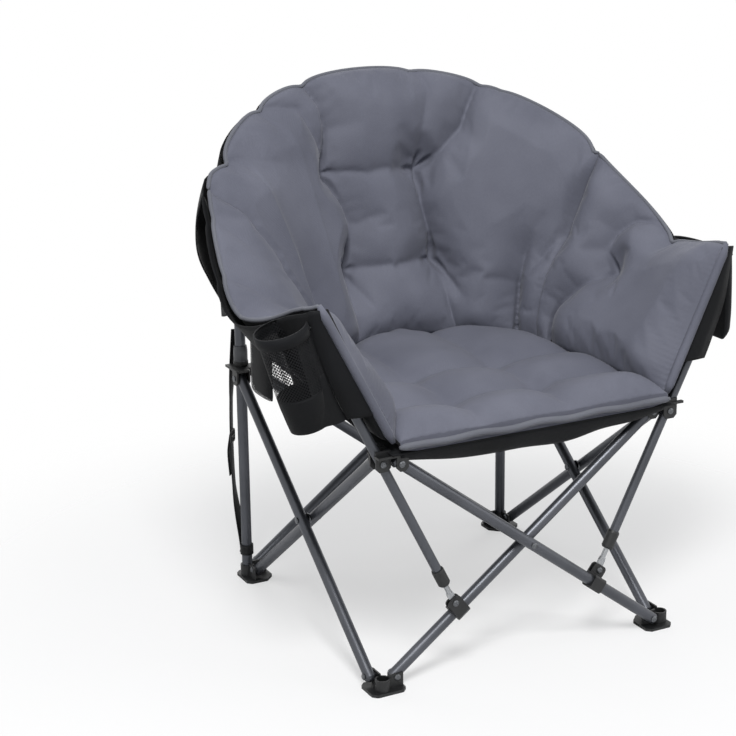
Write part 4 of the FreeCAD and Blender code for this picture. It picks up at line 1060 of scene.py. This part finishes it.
def makeCup():
    s = cupHolder
    mouth, axis, across, along = cupAxis()
    solidTop = s["height"] * (1 - s["solidShare"])
    sides, rings, bottom = s["sides"], s["footRings"], s["bottom"]
    turns = [360 * k / sides for k in range(sides)]

    def unrolled(p):
        away = p - mouth
        return math.atan2(away.dot(along), away.dot(across)) * s["radius"], -away.dot(axis)

    verts = [cupPoint(turn, down) for down in np.linspace(0, solidTop, s["netRows"]) for turn in turns]
    net = meshObject("cupNet", verts, gridFaces(s["netRows"], sides, loop=True), cupNet)
    netCoordinates(net, unrolled)
    verts = []   # black foot of the cup, closed below with a soft rounded bottom
    for j in range(rings):
        down = solidTop + (s["height"] - solidTop) * j / (rings - 1)
        amount = s["wrinkle"] * math.sin(math.pi * j / (rings - 1))
        verts += [wrinkled(cupPoint(turn, down), s["wrinkleSize"], amount) for turn in turns]
    for shrink in bottom:
        centre = mouth - axis * (s["height"] + s["bottomDrop"] * (1 - shrink))
        verts += [centre.lerp(cupPoint(turn, s["height"]), shrink) for turn in turns]
    loops = rings + len(bottom)
    faces = gridFaces(loops, sides, loop=True)
    faces.append(tuple(range((loops - 1) * sides, loops * sides)))
    foot = meshObject("cupFoot", verts, faces, blackCloth)
    thicken(foot, s["footThickness"], 1.0)
    verts = []   # binding tape: a flat band round the mouth
    for lift, out in s["tape"]:
        for turn in turns:
            p = cupPoint(turn, max(0, -lift))
            spread = (p - (mouth - axis * max(0, -lift))).normalized()
            verts.append(p + axis * max(0, lift) + spread * out)
    band = meshObject("cupBinding", verts, gridFaces(len(s["tape"]), sides, loop=True), bindingTape)
    thicken(band, s["tapeThickness"], -1.0)
    return [foot, net, band]


wingCloth = {
    "rows": 14, "columns": 12, "skinGap": 0.002, "wrinkle": 0.004, "wrinkleSize": 0.04, "hem": 0.0028,
    "hemRise": 0.001,
}
cupWings = {
    # turn on the cup, share of the arm, part of the cup's height, part of the arm's height, cloth
    "cupWingFront": (275, 0.99, (0, 0.56), (0.86, 0.42), fineNet),
    "cupWingLow": (275, 0.99, (0.54, 1), (0.44, 0.0), blackCloth),
    "cupWingRear": (80, 0.64, (0, 0.98), (0.8, 0.1), blackCloth),
}


def makeCupWings():
    # cloth between the cup and the arm's skin: fine net above black in front of the cup, black behind it
    s = wingCloth
    rows, columns = s["rows"], s["columns"]
    made = []
    for name, (turn, share, downs, rises, material) in cupWings.items():
        verts = []
        for k in np.linspace(0, 1, rows):
            inner = cupPoint(turn, cupHolder["height"] * (downs[0] + (downs[1] - downs[0]) * k))
            rise = rises[0] + (rises[1] - rises[0]) * k
            outer = skinPlace(armSides["left"], share, rise, s["skinGap"])
            for j in np.linspace(0, 1, columns):
                amount = s["wrinkle"] * math.sin(math.pi * j)
                verts.append(wrinkled(inner.lerp(outer, j), s["wrinkleSize"], amount))
        o = meshObject(name, verts, gridFaces(rows, columns), material)
        netCoordinates(o, lambda p: (p.x + p.y, p.z))
        made.append(o)
        if downs[0] == 0:
            top = [v + upward * s["hemRise"] for v in verts[:columns]]
            made.append(bead(name + "Hem", top, s["hem"], bindingTape, sides=8))
    return made


cupPieces = makeCup() + makeCupWings()
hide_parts("cup_holder")
for piece in cupPieces:
    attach(piece, "front_left_post")

pocketSpec = {
    "rows": 26, "columns": 40, "thickness": 0.0016, "hem": 0.0024, "wrinkle": 0.0022, "wrinkleSize": 0.05,
    # room inside the solid's box, and the clearance from the arm
    "depthRoom": 0.002, "lengthRoom": 0.006, "heightRoom": 0.002, "armGap": 0.0008, "hemRise": 0.001,
    # the belly: its least share of the depth, and the part of a half wave that it follows down the pouch
    "bellyLeast": 0.35, "bellyFrom": 0.15, "bellyOver": 0.62,
    # from here down the bottom tucks in, by these shares of the depth and the length
    "tuckFrom": 0.88, "tuckDepth": 0.45, "tuckLength": 0.06,
}
pockets = {
    "sidePocket": {"node": "side_pocket", "material": blackCloth, "slot": "black_fabric",
                   "body": "front_right_post", "bow": 0.45},
    "netPocket": {"node": "mesh_pocket", "material": fineNet, "slot": "mesh_fabric",
                  "body": "front_left_post", "bow": 0.7},
}


def makePocket(name, pocket):
    # a pouch with a flat back on the arm, a bowed front and a soft bottom, open at the top
    s = pocketSpec
    rows, columns = s["rows"], s["columns"]
    low, high = (Vector(p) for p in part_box(pocket["node"]))
    side = 1 if low.x > 0 else -1
    inner = low.x if side > 0 else high.x
    depth, length = high.x - low.x - s["depthRoom"], high.y - low.y - s["lengthRoom"]
    height = high.z - low.z - s["heightRoom"]
    middle = (low.y + high.y) / 2
    verts = []
    for down in np.linspace(0, 1, rows):
        wave = math.sin(math.pi * (s["bellyFrom"] + down * s["bellyOver"]))
        belly = s["bellyLeast"] + (1 - s["bellyLeast"]) * wave   # fullest a little below the middle
        tuck = max(0, down - s["tuckFrom"]) / (1 - s["tuckFrom"])
        for k in range(columns):
            a = 2 * math.pi * k / columns
            square = math.copysign(abs(math.cos(a)) ** 0.75, math.cos(a))
            front = max(0, math.sin(a))
            bow = pocket["bow"] + (1 - pocket["bow"]) * belly
            x = front ** 0.8 * depth * bow * (1 - s["tuckDepth"] * tuck ** 2)
            y = middle + square * (length / 2) * (1 - s["tuckLength"] * tuck ** 2)
            p = Vector((inner + side * (x + s["armGap"]), y, high.z - down * height))
            verts.append(wrinkled(p, s["wrinkleSize"], s["wrinkle"] * front * math.sin(math.pi * down)))
    faces = gridFaces(rows, columns, loop=True)
    faces.append(tuple(range((rows - 1) * columns, rows * columns)))
    o = meshObject(name, verts, faces, pocket["material"])
    if pocket["material"] == fineNet:
        netCoordinates(o, lambda p: (p.y, p.z))
        o.data.materials.append(blackCloth)
        for f in o.data.polygons:   # the half against the arm is plain cloth
            f.material_index = int(f.index % columns >= columns // 2)
    else:
        thicken(o, s["thickness"], 0.0)
    mouth = [v + upward * s["hemRise"] for v in verts[:columns]]
    hem = bead(name + "Hem", mouth, s["hem"], bindingTape, closed=True, sides=8)
    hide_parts(pocket["node"])
    for piece in (o, hem):
        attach(piece, pocket["body"])
    return [o, hem]


for name, pocket in pockets.items():
    pocket["pieces"] = makePocket(name, pocket)
print("pockets made")


# Closure strap behind the rear-left upright

strap = {
    "width": 0.018, "thickness": 0.0018, "topZ": 0.472, "lowZ": 0.064, "endZ": 0.046,
    "near": 0.0122, "far": 0.024, "bow": 0.011, "turn": 50, "buckleZ": 0.27, "length": 0.43,
    "bowBelow": 0.13, "bowAbove": 0.11, "loopRadius": 0.0112, "loopSides": 32, "loopRows": 5,
    # the loose tail: its share of the width, and its places from the buckle
    "tailShare": 0.95, "tail": ((-0.002, 0.002, 0.004), (-0.006, 0.004, -0.03), (-0.004, 0.003, -0.075)),
    "buckleShare": 0.62, "buckleHalf": 0.011, "buckleBead": 0.0019, "barBead": 0.0017, "roundness": 0.4,
}


def ribbon(name, points, turns, width, thickness, material):
    # flat webbing along a line, its width turned from X by so many degrees at each place
    steps = 10
    line = smoothLine(points, steps)
    edge = ((-0.5, -0.35), (-0.46, -0.5), (0.46, -0.5), (0.5, -0.35),
            (0.5, 0.35), (0.46, 0.5), (-0.46, 0.5), (-0.5, 0.35))
    sides = len(edge)
    verts = []
    for i, p in enumerate(line):
        along = (line[min(i + 1, len(line) - 1)] - line[max(i - 1, 0)]).normalized()
        a = math.radians(float(np.interp(i / steps, range(len(turns)), turns)))
        face = along.cross(Vector((math.cos(a), math.sin(a), 0))).normalized()
        across = face.cross(along)
        verts += [p + across * (x * width) + face * (n * thickness) for x, n in edge]
    faces = gridFaces(len(line), sides, loop=True)
    faces.append(tuple(reversed(range(sides))))
    faces.append(tuple(range((len(line) - 1) * sides, len(line) * sides)))
    o = meshObject(name, verts, faces, material)
    faceOut(o)
    return o


def makeStrap():
    # webbing that hangs behind the upright and bows out between its ends, with its loop, tail and buckle
    s, c = strap, cover
    x, y = -c["half"], c["half"] + c["shiftY"]
    far, near, buckleZ, bow = y + s["far"], y + s["near"], s["buckleZ"], x - s["bow"]
    turn = s["turn"]
    hanging = [
        (x, (near + far) / 2, s["topZ"]), (bow, far, s["topZ"] - s["bowBelow"]),
        (bow, far, s["lowZ"] + s["bowAbove"]), (x, near, s["lowZ"]), (x, near, s["endZ"])]
    band = ribbon("closureStrap", hanging, (0, turn, turn, 0, 0), s["width"], s["thickness"], webbing)
    loose = [(bow + aside, far + back, buckleZ + rise) for aside, back, rise in s["tail"]]
    tailWidth = s["width"] * s["tailShare"]
    tail = ribbon("strapTail", loose, (turn, turn, turn), tailWidth, s["thickness"], webbing)
    radius, sides, rows = s["loopRadius"], s["loopSides"], s["loopRows"]
    ring = [Vector((x + radius * math.cos(a), y + radius * math.sin(a), 0))
            for a in np.linspace(0, 2 * math.pi, sides + 1)[:-1]]
    verts = [p + upward * z for z in np.linspace(s["endZ"], s["lowZ"], rows) for p in ring]
    loop = meshObject("strapLoop", verts, gridFaces(rows, sides, loop=True), webbing)
    thicken(loop, s["thickness"], 0.0)
    at = Vector((bow, far, buckleZ))   # ladder buckle: a rounded frame with a middle bar
    across = Vector((math.cos(math.radians(turn)), math.sin(math.radians(turn)), 0))
    wide, tall = s["width"] * s["buckleShare"], s["buckleHalf"]
    outline = []
    for a in np.linspace(0, 2 * math.pi, 41)[:-1]:
        aside = math.copysign(abs(math.cos(a)) ** s["roundness"], math.cos(a))
        rise = math.copysign(abs(math.sin(a)) ** s["roundness"], math.sin(a))
        outline.append(at + across * (wide * aside) + upward * (tall * rise))
    buckle = bead("strapBuckle", outline, s["buckleBead"], blackNylon, closed=True, sides=8)
    middle = [at + across * (wide * t) for t in np.linspace(-1, 1, 7)]
    bar = bead("strapBuckleBar", middle, s["barBead"], blackNylon, sides=8)
    return [band, loop, tail, buckle, bar]


strapPieces = makeStrap()
for piece in strapPieces:
    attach(piece, "rear_left_leg")
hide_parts("closure_strap")
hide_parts("strap_loop")
print("strap made")


# Each cover piece gets a mesh of its own

for piece in [backPad, backShell] + pipingPieces["back"] + [seatPad, seatSling, seatValance, seatEdge]:
    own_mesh(piece)
alongArms = cupPieces + pockets["sidePocket"]["pieces"] + pockets["netPocket"]["pieces"]
for label, arm in armSides.items():
    alongArms += [arm["pad"], arm["skin"]] + pipingPieces[label]
for piece in alongArms:
    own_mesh(piece)


# Stage, light and camera

stageSet = {
    "floorSize": 6.0, "floorColour": ("#f4f4f4", "#f8f8f8"), "glow": 0.5, "fadeFrom": 0.5, "fadeTo": 1.2,
    "lowSky": 0.08, "highSky": 0.46, "sky": "#f4f6fa", "skyFrom": -0.3, "skyTo": 0.9,
}


def makeStage():
    s = stageSet
    m, t = startMaterial("paleStudioFloor")
    place = addNode(t, "ShaderNodeTexCoord")
    cloud = addNode(t, "ShaderNodeTexNoise", {"Scale": 0.6, "Detail": 2.0}, {"Vector": (place, "Object")})
    stops = list(zip((0.3, 0.7), s["floorColour"]))
    tone = addNode(t, "ShaderNodeValToRGB", {"stops": stops}, {"Fac": (cloud, "Fac")})
    matte = addNode(t, "ShaderNodeBsdfDiffuse", links={"Color": (tone, "Color")})
    glow = addNode(t, "ShaderNodeEmission", {"Strength": 1.0, "Color": (1, 1, 1, 1)})
    rays = addNode(t, "ShaderNodeLightPath")
    shown = addNode(t, "ShaderNodeMath", {"operation": "MULTIPLY", 1: s["glow"]}, {
        0: (rays, "Is Camera Ray")})
    share = addNode(t, "ShaderNodeMixShader", links={0: (shown, "Value"), 1: (matte, 0), 2: (glow, 0)})
    clear = addNode(t, "ShaderNodeBsdfTransparent")
    away = addNode(t, "ShaderNodeVectorMath", {"operation": "LENGTH"}, {0: (place, "Object")})
    fade = addNode(t, "ShaderNodeMapRange", {
        "interpolation_type": "SMOOTHSTEP", "From Min": s["fadeFrom"], "From Max": s["fadeTo"]},
        {"Value": (away, "Value")})
    floor = addNode(t, "ShaderNodeMixShader", links={0: (fade, "Result"), 1: (share, 0), 2: (clear, 0)})
    finishMaterial(t, floor)
    size = s["floorSize"]
    corners = [(-size, -size, 0), (size, -size, 0), (size, size, 0), (-size, size, 0)]
    meshObject("floor", corners, [(0, 1, 2, 3)], m)
    world = bpy.data.worlds.new("studio")
    bpy.context.scene.world = world
    world.use_nodes = True
    t = world.node_tree
    t.nodes.clear()
    rays = addNode(t, "ShaderNodeLightPath")
    seen = addNode(t, "ShaderNodeMath", {"operation": "MAXIMUM"}, {
        0: (rays, "Is Camera Ray"), 1: (rays, "Is Transmission Ray")})
    shown = addNode(t, "ShaderNodeMath", {"operation": "MAXIMUM"}, {
        0: (seen, "Value"), 1: (rays, "Is Glossy Ray")})
    place = addNode(t, "ShaderNodeTexCoord")
    height = addNode(t, "ShaderNodeSeparateXYZ", links={0: (place, "Generated")})
    rise = {"From Min": s["skyFrom"], "From Max": s["skyTo"], "To Min": s["lowSky"], "To Max": s["highSky"]}
    level = addNode(t, "ShaderNodeMapRange", rise, {"Value": (height, "Z")})
    sky = addNode(t, "ShaderNodeBackground", {"Color": hexToLinear(s["sky"])}, {
        "Strength": (level, "Result")})
    white = addNode(t, "ShaderNodeBackground", {"Strength": 1.0, "Color": (1, 1, 1, 1)})
    pick = addNode(t, "ShaderNodeMixShader", links={0: (shown, "Value"), 1: (sky, 0), 2: (white, 0)})
    addNode(t, "ShaderNodeOutputWorld", links={"Surface": (pick, 0)})


studioLights = {
    # where it stands, what it points at, its size in metres and its power in watts
    "keyLight": ((-1.1, -2.0, 3.1), (0, 0, 0.5), (1.0, 1.0), 100),
    "fillLight": ((2.6, -1.8, 1.6), (0, 0, 0.5), (1.6, 1.6), 14),
    "rimLight": ((0.4, 2.6, 2.4), (0, 0, 0.6), (2.4, 1.4), 24),
}


def areaLight(name, place, target, size, power):
    data = bpy.data.lights.new(name, "AREA")
    data.shape = "RECTANGLE"
    data.size, data.size_y = size
    data.energy = power
    o = bpy.data.objects.new(name, data)
    o.location = place
    o.rotation_euler = (Vector(target) - Vector(place)).to_track_quat("-Z", "Y").to_euler()
    bpy.context.scene.collection.objects.link(o)


photoCamera = {
    "target": (0.0, -0.012, 0.45), "azimuth": -29.285, "elevation": 16.6345, "distance": 3.2507,
    "lens": 91.69, "shiftX": -0.1077, "shiftY": -0.0111,
}


def makeCamera():
    p = photoCamera
    data = bpy.data.cameras.new("photoView")
    data.lens = p["lens"]
    data.sensor_width = 36
    data.shift_x, data.shift_y = p["shiftX"], p["shiftY"]
    o = bpy.data.objects.new("photoView", data)
    az, el = math.radians(p["azimuth"]), math.radians(p["elevation"])
    away = Vector((math.sin(az) * math.cos(el), -math.cos(az) * math.cos(el), math.sin(el)))
    o.location = Vector(p["target"]) + away * p["distance"]
    o.rotation_euler = (-away).to_track_quat("-Z", "Y").to_euler()
    bpy.context.scene.collection.objects.link(o)
    bpy.context.scene.camera = o


makeStage()
for name, light in studioLights.items():
    areaLight(name, *light)
makeCamera()
bpy.context.scene.view_settings.view_transform = "Standard"
print("stage, light and camera set")
